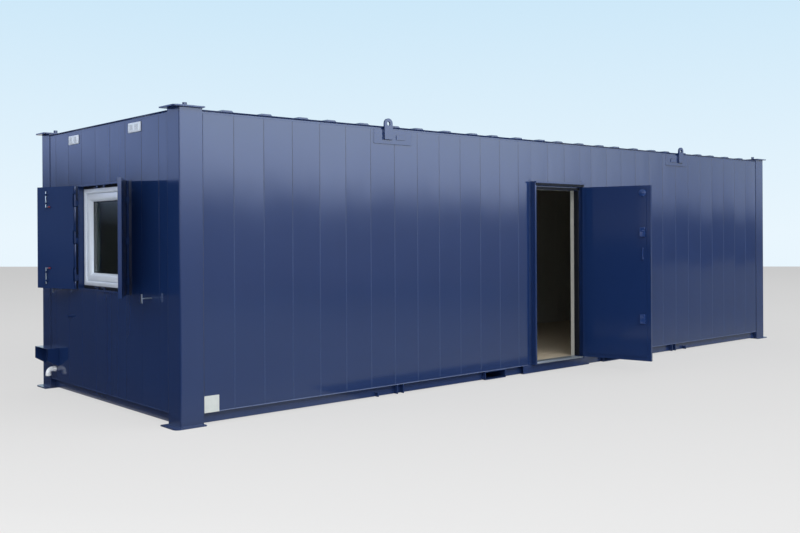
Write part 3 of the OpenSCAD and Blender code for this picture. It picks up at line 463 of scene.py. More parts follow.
# Walls
# Folded steel sheets, seamed side by side and sprayed, so every sheet stands a little its own way.
# The edge of the sky wavers from sheet to sheet, and the paint is touched in by brush beside the door frame.
SEAM_PITCH, REAR_BAYS, END_BAYS, DOOR_BAYS = 0.3075, 30, 8, 3
TOUCHED_W = 0.05
over_low, over_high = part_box("front_wall_over_door")
DOOR_FRAME_X, FAR_FRAME_X = over_low[0], over_high[0]
end_pitch = (CABIN_W - 2 * POST_W) / END_BAYS
rear_pitch = (CABIN_L - 2 * POST_W) / REAR_BAYS
door_pitch = (FAR_FRAME_X - DOOR_FRAME_X) / DOOR_BAYS
long_sheets = navy_gloss("gloss_navy_on_long_sheets",
                         ("X", POST_W, SEAM_PITCH, CABIN_L / 2, DOOR_FRAME_X - TOUCHED_W, SEAM_PALE_LOW))
door_sheets = navy_gloss("gloss_navy_over_door", ("X", DOOR_FRAME_X, door_pitch, None, None, SEAM_PALE_LOW))
rear_sheets = navy_gloss("gloss_navy_on_rear_sheets", ("X", POST_W, rear_pitch, None, None, SEAM_PALE_LOW))
end_sheets = navy_gloss("gloss_navy_on_end_sheets",
                        ("Y", POST_W - end_pitch / 2, end_pitch, None, None, NAVY))
finish_nodes(long_sheets, "front_wall_sides")
finish_nodes(door_sheets, "front_wall_over_door")
finish_nodes(rear_sheets, "rear_wall")
finish_nodes(end_sheets, "left_wall_sides", "left_wall_over_window", "left_wall_under_window", "right_wall")

# Joint sealant
# A gunned bead of dark polyurethane where every sheeted wall butts against a corner post.
# It is tooled flat, and stays a matt line that is darker than the gloss beside it.
SEALANT_W, SEALANT_BED, SEALANT_SET, SEALANT_LAP, SEALANT_ROUND = 0.007, 0.0005, 0.0015, 0.001, 0.0015
SHEET_EDGE = 0.001
WALL_FACE, WALL_FOOT, WALL_TOP = wall_low[1], wall_low[2] + SHEET_EDGE, wall_high[2]


def block(low, high):
    """A cube set to fill the box between two corners."""
    bpy.ops.object.select_all(action="DESELECT")
    bpy.ops.mesh.primitive_cube_add(size=1, location=[(a + b) / 2 for a, b in zip(low, high)],
                                    scale=[b - a for a, b in zip(low, high)])
    bpy.ops.object.transform_apply()
    return bpy.context.object


def soften(obj, width, segments=2):
    """Rounds a mesh's sharp edges."""
    bevel = obj.modifiers.new("edges", "BEVEL")
    bevel.width, bevel.segments, bevel.limit_method = width, segments, "ANGLE"
    bpy.context.view_layer.objects.active = obj
    bpy.ops.object.modifier_apply(modifier=bevel.name)


def both_ends(length, near, far):
    """A span that is measured from either end of a length."""
    return (near, far), (length - far, length - near)


def two_tone(name, dark, light, patch_mm, roughness, detail=4.0, **sockets):
    """A material whose colour drifts between two shades, in patches of about patch_mm."""
    material = bpy.data.materials.new(name)
    material.use_nodes = True
    tree = material.node_tree
    shader = tree.nodes["Principled BSDF"]
    where = add(tree, "ShaderNodeTexCoord")
    patches = add(tree, "ShaderNodeTexNoise", {"Scale": 1000 / patch_mm, "Detail": detail},
                  {"Vector": where.outputs["Object"]})
    tone = add(tree, "ShaderNodeMix", {6: linear(dark), 7: linear(light)}, {0: patches.outputs["Fac"]},
               data_type="RGBA")
    tree.links.new(tone.outputs[2], shader.inputs["Base Color"])
    shader.inputs["Roughness"].default_value = roughness
    for socket, value in sockets.items():
        shader.inputs[socket.replace("_", " ")].default_value = value
    return material


# Cured polyurethane: matt and almost black navy, with faint streaks from the tool. The same matt also stands
# for painted shade beside the window's shutter hinges.
sealant_and_shade_matt = two_tone("dark_sealant_and_painted_shade", "#141f3c", "#1b2848", 25, 0.6, 3.0)
beads = []
for x0, x1 in both_ends(CABIN_L, POST_W - SEALANT_BED, POST_W + SEALANT_W):
    for y0, y1 in both_ends(CABIN_W, SEALANT_SET, WALL_FACE + SEALANT_LAP):
        beads.append(block((x0, y0, WALL_FOOT), (x1, y1, WALL_TOP)))
        soften(beads[-1], SEALANT_ROUND)
for y0, y1 in both_ends(CABIN_W, POST_W - SEALANT_BED, POST_W + SEALANT_W):
    for x0, x1 in both_ends(CABIN_L, SEALANT_SET, WALL_FACE + SEALANT_LAP):
        beads.append(block((x0, y0, WALL_FOOT), (x1, y1, WALL_TOP)))
        soften(beads[-1], SEALANT_ROUND)
hand_in(join(beads), "joint_sealant", sealant_and_shade_matt)

# Wall drips
# The foot of every wall is folded out by a few millimetres as a drip, so that rain leaves the wall above the
# base rail. The sloped fold catches the sky as a thin light line.
DRIP_H, DRIP_OUT, DRIP_LAP, DRIP_NOSE = 0.007, 0.002, 0.001, 0.0003
PLATE_X, PLATE_Z, PLATE_SIDE = 0.222, 0.104, 0.143


def pick_faces(test):
    """Selects the edited mesh's faces whose middle and normal pass the test."""
    mesh = bmesh.from_edit_mesh(bpy.context.object.data)
    bpy.ops.mesh.select_mode(type="FACE")
    bpy.ops.mesh.select_all(action="DESELECT")
    for face in mesh.faces:
        face.select_set(test(face.calc_center_median(), face.normal))
    bmesh.update_edit_mesh(bpy.context.object.data)


def pick_edges(test):
    """Selects the edited mesh's edges whose two ends pass the test."""
    mesh = bmesh.from_edit_mesh(bpy.context.object.data)
    bpy.ops.mesh.select_mode(type="EDGE")
    bpy.ops.mesh.select_all(action="DESELECT")
    for edge in mesh.edges:
        edge.select_set(test(edge.verts[0].co, edge.verts[1].co))
    bmesh.update_edit_mesh(bpy.context.object.data)


near, far_x, far_y = POST_W + SEALANT_W, CABIN_L - POST_W - SEALANT_W, CABIN_W - POST_W - SEALANT_W
drip_foot = WALL_FOOT - SHEET_EDGE
drips = []
for low, high, inward in (((PLATE_X + PLATE_SIDE, 0, 0), (DOOR_FRAME_X, 0, 0), Vector((0, 1, 0))),
                          ((FAR_FRAME_X, 0, 0), (far_x, 0, 0), Vector((0, 1, 0))),
                          ((near, CABIN_W, 0), (far_x, CABIN_W, 0), Vector((0, -1, 0))),
                          ((0, near, 0), (0, far_y, 0), Vector((1, 0, 0))),
                          ((CABIN_L, near, 0), (CABIN_L, far_y, 0), Vector((-1, 0, 0)))):
    ends = [Vector(low) + inward * (WALL_FACE - DRIP_OUT), Vector(high) + inward * (WALL_FACE + DRIP_LAP)]
    drip = block([min(a, b) for a, b in zip(*ends)][:2] + [drip_foot],
                 [max(a, b) for a, b in zip(*ends)][:2] + [drip_foot + DRIP_H])
    bpy.ops.object.mode_set(mode="EDIT")
    middle = sum(ends, Vector()) / 2
    pick_edges(lambda a, b: min(a.z, b.z) > drip_foot + DRIP_H / 2
               and max((a - middle).dot(inward), (b - middle).dot(inward)) < 0)
    bpy.ops.transform.translate(value=inward * (DRIP_OUT - DRIP_NOSE))
    bpy.ops.object.mode_set(mode="OBJECT")
    drips.append(drip)
hand_in(join(drips), "wall_drips", frame_paint)

# Data plate
# A bare aluminium plate low on the long wall, beside the near post.
# It is blanked from sheet with round corners and a pressed field, and pop-riveted at its four corners.
PLATE_T, PLATE_ROUND, RIM_W, FIELD_SLOPE, FIELD_FALL = 0.002, 0.006, 0.004, 0.001, 0.0005
RIVET_IN, RIVET_R, PLATE_SMOOTH = 0.012, 0.004, 12
FRONTWARD, INWARD, ENDWARD = Vector((0, -1, 0)), Vector((0, 1, 0)), Vector((-1, 0, 0))


def sink_field(way, rim, slope, fall):
    """Insets the active mesh's face that looks along way, and leaves a rim round a sunk field."""
    bpy.ops.object.mode_set(mode="EDIT")
    pick_faces(lambda middle, normal: normal.dot(way) > 0.9)
    bpy.ops.mesh.inset(thickness=rim, depth=0.0)
    bpy.ops.mesh.inset(thickness=slope, depth=-fall)
    bpy.ops.object.mode_set(mode="OBJECT")


# Satin anodised sheet: pale and nearly matt, with a thin uneven film of dirt.
plate_alloy = two_tone("satin_aluminium_plate", "#b6b9b4", "#c4c7c2", 33.33, 0.7, Metallic=0.15)
plate = block((PLATE_X, WALL_FACE - PLATE_T, PLATE_Z),
              (PLATE_X + PLATE_SIDE, WALL_FACE, PLATE_Z + PLATE_SIDE))
bpy.ops.object.mode_set(mode="EDIT")
pick_edges(lambda a, b: abs(a.y - b.y) > PLATE_T / 2)
bpy.ops.mesh.bevel(offset=PLATE_ROUND, segments=4)
bpy.ops.object.mode_set(mode="OBJECT")
sink_field(FRONTWARD, RIM_W, FIELD_SLOPE, FIELD_FALL)
plate_parts = [plate]
for x in (RIVET_IN, PLATE_SIDE - RIVET_IN):
    for z in (RIVET_IN, PLATE_SIDE - RIVET_IN):
        bpy.ops.object.select_all(action="DESELECT")
        bpy.ops.mesh.primitive_uv_sphere_add(segments=16, ring_count=8, radius=RIVET_R, scale=(1, 0.5, 1),
                                             location=(PLATE_X + x, WALL_FACE - PLATE_T, PLATE_Z + z))
        plate_parts.append(bpy.context.object)
        bpy.ops.object.transform_apply()
hand_in(join(plate_parts), "data_plate", plate_alloy, smooth=PLATE_SMOOTH)

# Wall vents
# Two white moulded hit-and-miss vents, screwed on high up in the window end.
# Each is a flat cover with two slotted squares, and a fly mesh shows between the slats.
VENTS = ((2.072, 2.528), (0.714, 2.537))
VENT_L, VENT_H, VENT_OUT, VENT_ROUND = 0.236, 0.085, 0.010, 0.006
COVER_RIM, COVER_DOME = 0.003, 0.0015
GRILLE_SHARES, GRILLE_HALF, GRILLE_IN, GRILLE_OUT, GRILLE_BED = (0.28, 0.72), 0.040, 0.012, 0.003, 0.002
GRILLE_RIM, GRILLE_SLOPE, GRILLE_ROUND, SLAT_ROUND = 0.004, 0.001, 0.0008, 0.0006
SLOTS, SLOT_W, SLAT_IN, SLAT_END, SLAT_OUT = 6, 0.0075, 0.006, 0.016, 0.0025
FLY_MESH_END, FLY_MESH_OUT, FLY_MESH_BED, FLY_MESH_MM = 0.017, 0.0006, 0.001, 2.0
SCREW_IN, SCREW_R, SCREW_OUT = 0.010, 0.004, 0.001
# Moulded plastic: a soft even gloss on white, with a faint chalky bloom.
vent_plastic = two_tone("white_moulded_plastic", "#d6e1f0", "#e0eaf6", 40, 0.4)
# Fly mesh in shadow: a dull grey with a fine check where the wires cross.
vent_dark = bpy.data.materials.new("vent_shadow_mesh")
vent_dark.use_nodes = True
tree = vent_dark.node_tree
shader = tree.nodes["Principled BSDF"]
where = add(tree, "ShaderNodeTexCoord")
wires = add(tree, "ShaderNodeTexChecker", {"Scale": 1000 / FLY_MESH_MM}, {"Vector": where.outputs["Object"]})
tone = add(tree, "ShaderNodeMix", {6: linear("#7f8894"), 7: linear("#98a1ad")}, {0: wires.outputs["Fac"]},
           data_type="RGBA")
tree.links.new(tone.outputs[2], shader.inputs["Base Color"])
shader.inputs["Roughness"].default_value = 0.8
for number, (y0, z0) in enumerate(VENTS, 1):
    cover = block((WALL_FACE - VENT_OUT, y0, z0), (WALL_FACE, y0 + VENT_L, z0 + VENT_H))
    bpy.ops.object.mode_set(mode="EDIT")
    pick_edges(lambda a, b: abs(a.x - b.x) > VENT_OUT / 2)
    bpy.ops.mesh.bevel(offset=VENT_ROUND, segments=3)
    pick_faces(lambda middle, normal: normal.x < -0.9)
    bpy.ops.mesh.inset(thickness=COVER_RIM, depth=COVER_DOME)
    bpy.ops.object.mode_set(mode="OBJECT")
    face = WALL_FACE - VENT_OUT - COVER_DOME
    top = z0 + VENT_H
    vent_parts, meshes = [cover], []
    for share in GRILLE_SHARES:
        low, high = y0 + VENT_L * share - GRILLE_HALF, y0 + VENT_L * share + GRILLE_HALF
        rim = block((face - GRILLE_OUT, low, z0 + GRILLE_IN), (face + GRILLE_BED, high, top - GRILLE_IN))
        sink_field(ENDWARD, GRILLE_RIM, GRILLE_SLOPE, GRILLE_OUT)
        soften(rim, GRILLE_ROUND)
        gap = (high - low - 2 * SLAT_IN) / SLOTS
        slat = block((face - SLAT_OUT, low + SLAT_IN, z0 + SLAT_END),
                     (face, low + SLAT_IN + gap - SLOT_W, top - SLAT_END))
        soften(slat, SLAT_ROUND)
        repeat(slat, SLOTS, (0, gap, 0))
        vent_parts += [rim, slat]
        mesh = block((face - FLY_MESH_OUT, low + SLAT_IN, z0 + FLY_MESH_END),
                     (face + FLY_MESH_BED, high - SLAT_IN, top - FLY_MESH_END))
        bpy.ops.object.mode_set(mode="EDIT")
        bpy.ops.mesh.subdivide(number_cuts=2)
        bpy.ops.object.mode_set(mode="OBJECT")
        meshes.append(mesh)
    for y in (y0 + SCREW_IN, y0 + VENT_L - SCREW_IN):
        bpy.ops.object.select_all(action="DESELECT")
        bpy.ops.mesh.primitive_uv_sphere_add(segments=12, ring_count=8, radius=SCREW_R, scale=(0.5, 1, 1),
                                             location=(WALL_FACE - VENT_OUT - SCREW_OUT, y, z0 + VENT_H / 2))
        bpy.ops.object.transform_apply()
        vent_parts.append(bpy.context.object)
    hand_in(join(vent_parts), f"wall_vent_{number}", vent_plastic)
    hand_in(join(meshes), f"wall_vent_mesh_{number}", vent_dark)

# Room
# A plain lined box: vinyl-faced boards pinned to the walls and ceiling, with cover strips over the joints.
# The deck is plywood with sheet vinyl glued down over it.
STRIP_W, STRIP_T, STRIP_ROUND, BOARD_W = 0.034, 0.003, 0.001, 1.2
FIRST_JOINT, JOINTS, LINING_T = 1.3, 7, 0.012
# Vinyl-faced board: pale and a little shiny, with a fine cool mottle that breaks up the flat sheet.
boards = two_tone("vinyl_faced_board", "#bcbcb5", "#c8c8c1", 16.67, 0.45)
finish_nodes(boards, "wall_linings", "ceiling", "door_reveal")
lining_low, lining_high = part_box("wall_linings")
lining_face = lining_high[1] - LINING_T
strip = block((FIRST_JOINT - STRIP_W / 2, lining_face - STRIP_T, lining_low[2]),
              (FIRST_JOINT + STRIP_W / 2, lining_face, lining_high[2]))
soften(strip, STRIP_ROUND)
repeat(strip, JOINTS, (BOARD_W, 0, 0))
hand_in(strip, "lining_cover_strips", boards)
# Sheet vinyl: beige flakes, drawn coarser than real ones so that they show, under a worn satin face.
vinyl = two_tone("beige_sheet_vinyl", "#c4b498", "#d8ccb8", 11.11, 0.4, 5.0)
finish_nodes(vinyl, "floor_deck")

# Roof
# Box-profile steel sheets screwed down through their crowns to four purlins, with a folded eaves trim.
# The lifting eyes are flame-cut plates, welded to pad plates that are themselves welded to the walls.
finish_nodes(frame_paint, "roof_sheet", "eaves_trim", "eye_pads", "lifting_eyes")
PURLIN_Y, PURLINS, PURLIN_PITCH = 0.16, 4, 0.909
WASHER_R, WASHER_T, HEAD_R, HEAD_H = 0.0095, 0.002, 0.0055, 0.005
# Bright zinc plate: small hard highlights on each screw, slightly clouded.
zinc = two_tone("bright_zinc_plate", "#d2d8da", "#e6eaec", 8.333, 0.34, 3.0, Metallic=1.0)
crown_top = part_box("roof_sheet")[1][2]
crown_sides = sorted({round(v.co.x, 3) for v in nodes["roof_sheet"].data.vertices
                      if v.co.z > crown_top - 0.0005})
crowns = [(a + b) / 2 for a, b in zip(crown_sides[::2], crown_sides[1::2])]
turned = []
for sides, radius, height, foot, edge in ((16, WASHER_R, WASHER_T, 0, 0.0006),
                                          (6, HEAD_R, HEAD_H, WASHER_T, 0.0007)):
    bpy.ops.object.select_all(action="DESELECT")
    bpy.ops.mesh.primitive_cylinder_add(vertices=sides, radius=radius, depth=height,
                                        location=(0, PURLIN_Y, crown_top + foot + height / 2))
    turned.append(bpy.context.object)
    bpy.ops.object.transform_apply()
    soften(turned[-1], edge)
screw = join(turned)
repeat(screw, PURLINS, (0, PURLIN_PITCH, 0))
screws = [screw]
for x in crowns[1:]:
    bpy.ops.object.select_all(action="DESELECT")
    screw.select_set(True)
    bpy.context.view_layer.objects.active = screw
    bpy.ops.object.duplicate()
    copy = bpy.context.object
    copy.location.x = x - crowns[0]
    bpy.ops.object.transform_apply()
    screws.append(copy)
all_screws = join(screws)
all_screws.location.x = crowns[0]
hand_in(all_screws, "roof_screws", zinc)

EYE_X, PAD_FACE = 2.270, -0.005
eye_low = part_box("lifting_eyes")[0]
eye_foot, eye_half = eye_low[2], EYE_X - eye_low[0]
beads = []
for x in (EYE_X, CABIN_L - EYE_X):
    for y in (PAD_FACE, CABIN_W - PAD_FACE):
        for side in (-eye_half, eye_half):
            beads.append(weld_bead((x + side, y, eye_foot), (x + side, y, WALL_TOP)))
        beads.append(weld_bead((x - eye_half, y, eye_foot), (x + eye_half, y, eye_foot)))
hand_in(join(beads), "eye_weld_beads", frame_paint, smooth=BEAD_SMOOTH)
PAD_ENDS, PAD_FOOT = (2.100, 2.590), 2.500
FILLET, FILLET_END, FILLET_SET, FILLET_FALL_SHARE = 0.008, 0.001, 0.0008, 0.94
fillets = []
for near_end, far_end in both_ends(CABIN_L, *PAD_ENDS):
    for x, out in ((near_end, -1), (far_end, 1)):
        for face, wall in ((PAD_FACE + FILLET_SET, WALL_FACE),
                           (CABIN_W - PAD_FACE - FILLET_SET, CABIN_W - WALL_FACE)):
            fillet = block((min(x, x + out * FILLET), min(face, wall), PAD_FOOT + FILLET_END),
                           (max(x, x + out * FILLET), max(face, wall), WALL_TOP - FILLET_END))
            bpy.ops.object.mode_set(mode="EDIT")
            pick_edges(lambda a, b: all(abs(p.x - x) > FILLET / 2 and abs(p.y - face) < 0.001
                                        for p in (a, b)))
            bpy.ops.transform.translate(value=(0, (wall - face) * FILLET_FALL_SHARE, 0))
            bpy.ops.object.mode_set(mode="OBJECT")
            fillets.append(fillet)
hand_in(join(fillets), "pad_weld_fillets", frame_paint)

# Door frame
# Pressed steel jambs and a head with a rain drip, welded up and set in the long wall over a folded apron.
# The threshold is a ribbed aluminium extrusion, and black rubber seals are glued to the stops, with two black
# strips of painted shade in the rebate.
finish_nodes(frame_paint, "door_jambs", "door_head", "door_frame_hinges", "door_apron")
# Mill-finish aluminium: a dull silver with a fine grain, drawn coarser than the real one so that it shows.
alloy = two_tone("mill_finish_aluminium", "#838b94", "#959ca4", 3.333, 0.42, 2.0, Metallic=0.6)
finish_nodes(alloy, "door_threshold")
RIBS, RIB_PITCH, RIB_START, RIB_W = 6, 0.009, 0.006, 0.004
RIB_END, RIB_BED, RIB_H, RIB_ROUND = 0.004, 0.001, 0.0015, 0.0008
tread_low, tread_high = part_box("door_threshold")
LIP_X, FAR_LIP_X = tread_low[0], tread_high[0]
rib = block((LIP_X + RIB_END, tread_low[1] + RIB_START, tread_high[2] - RIB_BED),
            (FAR_LIP_X - RIB_END, tread_low[1] + RIB_START + RIB_W, tread_high[2] + RIB_H))
soften(rib, RIB_ROUND)
repeat(rib, RIBS, (0, RIB_PITCH, 0))
hand_in(rib, "threshold_ribs", alloy)

# Black rubber: almost no shine, and a faint grey bloom that keeps it from being flat black. It also stands
# for painted shade in strips in the door rebate and the window recess.
black_rubber_and_shade = two_tone("black_rubber_and_painted_shade", "#0c0e16", "#151822", 20, 0.7, Specular_IOR_Level=0.2)
STOP_FACE, STOP_X, FAR_STOP_X = -0.006, 4.494, 5.260
SEAL_FOOT, SEAL_FACE = 0.140, STOP_FACE - 0.008
BULB_ROUND_SHARE, BULB_MOST, BULB_BACK = 0.35, 0.010, 0.030
HEAD_SHADE_PAST, HEAD_SHADE_FAR_PAST, HEAD_SHADE_T = 0.012, 0.010, 0.005
HEAD_SHADE_FOOT, HEAD_SHADE_TOP = 0.007, 0.030
HEAD_SHADE_RIM, HEAD_SHADE_FALL, HEAD_SHADE_ROUND = 0.004, 0.002, 0.001
HEAD_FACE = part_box("door_jambs")[0][1]
leaf_low, leaf_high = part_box("door_leaf")
LEAF_FOOT, LEAF_TOP = leaf_low[2], leaf_high[2]
# Painted shade: a black strip under the head's drip darkens the gap there.
strip = block((LIP_X - HEAD_SHADE_PAST, HEAD_FACE - HEAD_SHADE_T, LEAF_TOP + HEAD_SHADE_FOOT),
              (FAR_LIP_X + HEAD_SHADE_FAR_PAST, HEAD_FACE, LEAF_TOP + HEAD_SHADE_TOP))
sink_field(FRONTWARD, HEAD_SHADE_RIM, HEAD_SHADE_FALL, HEAD_SHADE_FALL)
soften(strip, HEAD_SHADE_ROUND)
bulb_top = LEAF_TOP - 0.004
lock_side_bulb = (STOP_X - BULB_BACK, SEAL_FACE, SEAL_FOOT), (STOP_X - 0.004, STOP_FACE, bulb_top)
hinge_side_bulb = (FAR_STOP_X + 0.001, SEAL_FACE, SEAL_FOOT), (FAR_STOP_X + 0.016, STOP_FACE, bulb_top)
foot_pad = (FAR_STOP_X + 0.002, HEAD_FACE + 0.004, 0.1295), (FAR_LIP_X - 0.001, STOP_FACE, 0.1320)
# Painted shade: a thin black strip on the hinge-side stop return darkens the rebate between leaf and frame.
hinge_stop_shade = (FAR_STOP_X - 0.002, STOP_FACE - 0.004, SEAL_FOOT), (FAR_STOP_X, 0.048, LEAF_TOP - 0.040)
head_bulb = ((STOP_X - BULB_BACK, SEAL_FACE, LEAF_TOP - 0.034),
             (FAR_STOP_X + BULB_BACK, STOP_FACE, LEAF_TOP - 0.008))
bulbs = [strip]
for low, high in (lock_side_bulb, hinge_side_bulb, foot_pad, hinge_stop_shade, head_bulb):
    bulb = block(low, high)
    soften(bulb, BULB_ROUND_SHARE * min(BULB_MOST, *(b - a for a, b in zip(low, high))), 4)
    bulbs.append(bulb)
hand_in(join(bulbs), "door_seals_and_shade_strips", black_rubber_and_shade)

# Door leaf
# A steel-faced insulated leaf on three lift-off hinges, sprayed in the frame's navy.
# Its lock gear is bolted on near the free edge: a stepped boss, two lock cases and a bent pull on each face.
door_paint = navy_gloss("gloss_navy_on_door_leaf", shine=0.22)
finish_nodes(door_paint, "door_leaf", "door_leaf_hinges")
joints = {joint["name"]: joint for joint in frame["joints"]}
DOOR_PIN = Vector((*joints["door_swing"]["pos_m"][:2], 0))
DOOR_OPEN = math.radians(-joints["door_swing"]["range_deg"][0])
LEAF_X0, LEAF_INNER_Y, LEAF_OUTER_Y = 4.457, -0.012, -0.057
GEAR_X = LEAF_X0 + 0.092
LEAF_RISE = LEAF_TOP - LEAF_FOOT


def bent_bar(start, way, turn, radius, moves, vertices=16):
    """A round bar or tube swept from a circle: runs go straight on, bends turn it by an angle at a radius."""
    start, way, turn = Vector(start), Vector(way), Vector(turn)
    bpy.ops.object.select_all(action="DESELECT")
    bpy.ops.mesh.primitive_circle_add(vertices=vertices, radius=radius, location=start,
                                      rotation=way.to_track_quat("Z", "Y").to_euler())
    bar = bpy.context.object
    bpy.ops.object.transform_apply()
    bpy.ops.object.mode_set(mode="EDIT")
    bpy.ops.mesh.select_mode(type="EDGE")
    bpy.ops.mesh.select_all(action="SELECT")
    for move in moves:
        if len(move) == 1:
            bpy.ops.mesh.extrude_edges_move(TRANSFORM_OT_translate={"value": way * move[0]})
            start = start + way * move[0]
        else:
            angle, bend = move
            centre, axis = start + turn * bend, way.cross(turn)
            bpy.ops.mesh.spin(steps=10, angle=angle, center=centre, axis=axis)
            rotation = Matrix.Rotation(angle, 3, axis)
            start, way, turn = centre + rotation @ (start - centre), rotation @ way, rotation @ turn
    bpy.ops.mesh.select_all(action="SELECT")
    bpy.ops.mesh.remove_doubles(threshold=0.00005)
    bpy.ops.mesh.normals_make_consistent(inside=False)
    bpy.ops.object.mode_set(mode="OBJECT")
    return bar


def knob(middle, way, radius, height, vertices, edge):
    """A short turned boss or bolt head that stands on a face."""
    way = Vector(way)
    bpy.ops.object.select_all(action="DESELECT")
    bpy.ops.mesh.primitive_cylinder_add(vertices=vertices, radius=radius, depth=height,
                                        location=Vector(middle) + way * (height / 2),
                                        rotation=way.to_track_quat("Z", "Y").to_euler())
    turned = bpy.context.object
    bpy.ops.object.transform_apply()
    soften(turned, edge, 3)
    return turned


QUARTER_TURN = math.radians(90)
BOSS_DROP = 0.086
BOSS_STEPS = ((0, 0.043, 0.012, 40, 0.005), (0.011, 0.032, 0.007, 40, 0.004),
              (0.017, 0.014, 0.009, 6, 0.0015), (0.025, 0.007, 0.006, 16, 0.0012))
CASE_SHARES, CASE_HALF_W, CASE_HALF_H, CASE_OUT = (0.735, 0.24), 0.030, 0.055, 0.022
CASE_RIM, CASE_SLOPE, CASE_FALL, CASE_ROUND = 0.005, 0.001, 0.001, 0.003
CYLINDER_X, CYLINDER_Z, CYLINDER_R, CYLINDER_H, CYLINDER_BED = -0.006, 0.012, 0.012, 0.006, 0.001
CASE_SCREW_X, CASE_SCREW_Z, CASE_SCREW_R, CASE_SCREW_H, CASE_SCREW_BED = 0.021, 0.045, 0.0045, 0.004, 0.002
PULL_SHARE, PULL_HALF, PULL_R, PULL_OUT, PULL_BEND, PULL_RUN = 0.61, 0.059, 0.007, 0.018, 0.016, 0.086
ROSE_R, ROSE_H = 0.014, 0.004
gear = []
for out, radius, height, sides, edge in BOSS_STEPS:
    gear.append(knob((GEAR_X, LEAF_INNER_Y + out, LEAF_TOP - BOSS_DROP), INWARD, radius, height, sides, edge))
for share in CASE_SHARES:
    z = LEAF_FOOT + share * LEAF_RISE
    case = block((GEAR_X - CASE_HALF_W, LEAF_INNER_Y, z - CASE_HALF_H),
                 (GEAR_X + CASE_HALF_W, LEAF_INNER_Y + CASE_OUT, z + CASE_HALF_H))
    sink_field(INWARD, CASE_RIM, CASE_SLOPE, CASE_FALL)
    soften(case, CASE_ROUND, 3)
    gear.append(case)
    case_face = LEAF_INNER_Y + CASE_OUT
    gear.append(knob((GEAR_X + CYLINDER_X, case_face - CYLINDER_BED, z + CYLINDER_Z), INWARD,
                     CYLINDER_R, CYLINDER_H, 24, 0.0015))
    for dx in (-CASE_SCREW_X, CASE_SCREW_X):
        for dz in (-CASE_SCREW_Z, CASE_SCREW_Z):
            gear.append(knob((GEAR_X + dx, case_face - CASE_SCREW_BED, z + dz), INWARD,
                             CASE_SCREW_R, CASE_SCREW_H, 12, 0.001))
pull_z = LEAF_FOOT + PULL_SHARE * LEAF_RISE
for y, out in ((LEAF_INNER_Y, INWARD), (LEAF_OUTER_Y, -INWARD)):
    for side in (-1, 1):
        gear.append(knob((GEAR_X, y, pull_z + side * PULL_HALF), out, ROSE_R, ROSE_H, 20, 0.001))
    gear.append(bent_bar((GEAR_X, y, pull_z - PULL_HALF), out, (0, 0, 1), PULL_R,
                         [(PULL_OUT,), (QUARTER_TURN, PULL_BEND), (PULL_RUN,), (QUARTER_TURN, PULL_BEND),
                          (PULL_OUT,)]))
lock_gear = join(gear)
lock_gear.matrix_world = (Matrix.Translation(DOOR_PIN) @ Matrix.Rotation(DOOR_OPEN, 4, "Z")
                          @ Matrix.Translation(-DOOR_PIN))
# Painted highlight: the lock gear's navy is lightened 1.6 times, so the gear shows as light patches on the
# dark leaf.
lock_gear_highlight_paint = navy_gloss("navy_with_painted_highlight_on_lock_gear", edge_mm=1.0, tone=1.6)
hand_in(lock_gear, "lock_gear", lock_gear_highlight_paint, "door")
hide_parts("door_lock_gear")

# Window
# A white extruded uPVC window with mitred corners: frame, shadow groove, sash and glazing bead, in a folded
# steel surround. The sealed unit is two float panes on a black spacer, held between black gaskets.
finish_nodes(frame_paint, "window_surround")
# Extruded uPVC: a clean cool white with a soft sheen and the faintest cloud in its tone.
upvc = two_tone("white_upvc", "#cbd5e3", "#d7dfeb", 111, 0.28)
window_low, window_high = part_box("window_frame")


def framed_ring(low, high, steps):
    """A block with a hole through it along X. Its front is stepped inward by (width, rise) insets."""
    ring = block(low, high)
    middle_y, middle_z = (low[1] + high[1]) / 2, (low[2] + high[2]) / 2
    bpy.ops.object.mode_set(mode="EDIT")
    pick_faces(lambda middle, normal: normal.x < -0.9)
    for width, rise in steps:
        bpy.ops.mesh.inset(thickness=width, depth=rise)
    pick_faces(lambda middle, normal: normal.x > 0.9 and middle.x > high[0] - 0.0001)
    bpy.ops.mesh.inset(thickness=sum(width for width, rise in steps), depth=0.0)
    pick_faces(lambda middle, normal: abs(normal.x) > 0.9 and abs(middle.y - middle_y) < 0.001
               and abs(middle.z - middle_z) < 0.001)
    bpy.ops.mesh.bridge_edge_loops()
    bpy.ops.object.mode_set(mode="OBJECT")
    return ring


PROFILE = ((0.034, 0), (0.006, -0.004), (0.004, -0.004), (0.001, -0.020), (0.004, 0), (0.001, 0.016),
           (0.048, 0), (0.008, -0.004), (0.012, -0.018), (0.007, -0.016))
LIGHT_IN, WINDOW_BACK = 0.125, 0.120
window = framed_ring(window_low, (WINDOW_BACK, window_high[1], window_high[2]), PROFILE)
soften(window, 0.0008)
hand_in(window, "upvc_window", upvc)
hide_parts("window_frame", "window_sash")


def inside(x0, x1, inset):
    """The box between two depths, inset from the white frame's outside."""
    return ((x0, window_low[1] + inset, window_low[2] + inset),
            (x1, window_high[1] - inset, window_high[2] - inset))


PANES_X, PANE_T, SPACER_X = (0.092, 0.108), 0.004, (0.0965, 0.1075)
GASKETS_X = ((0.0885, 0.0918), (0.1123, 0.1203))
PANE_LAP, SPACER_LAP, GASKET_LAP = 0.005, 0.004, 0.003
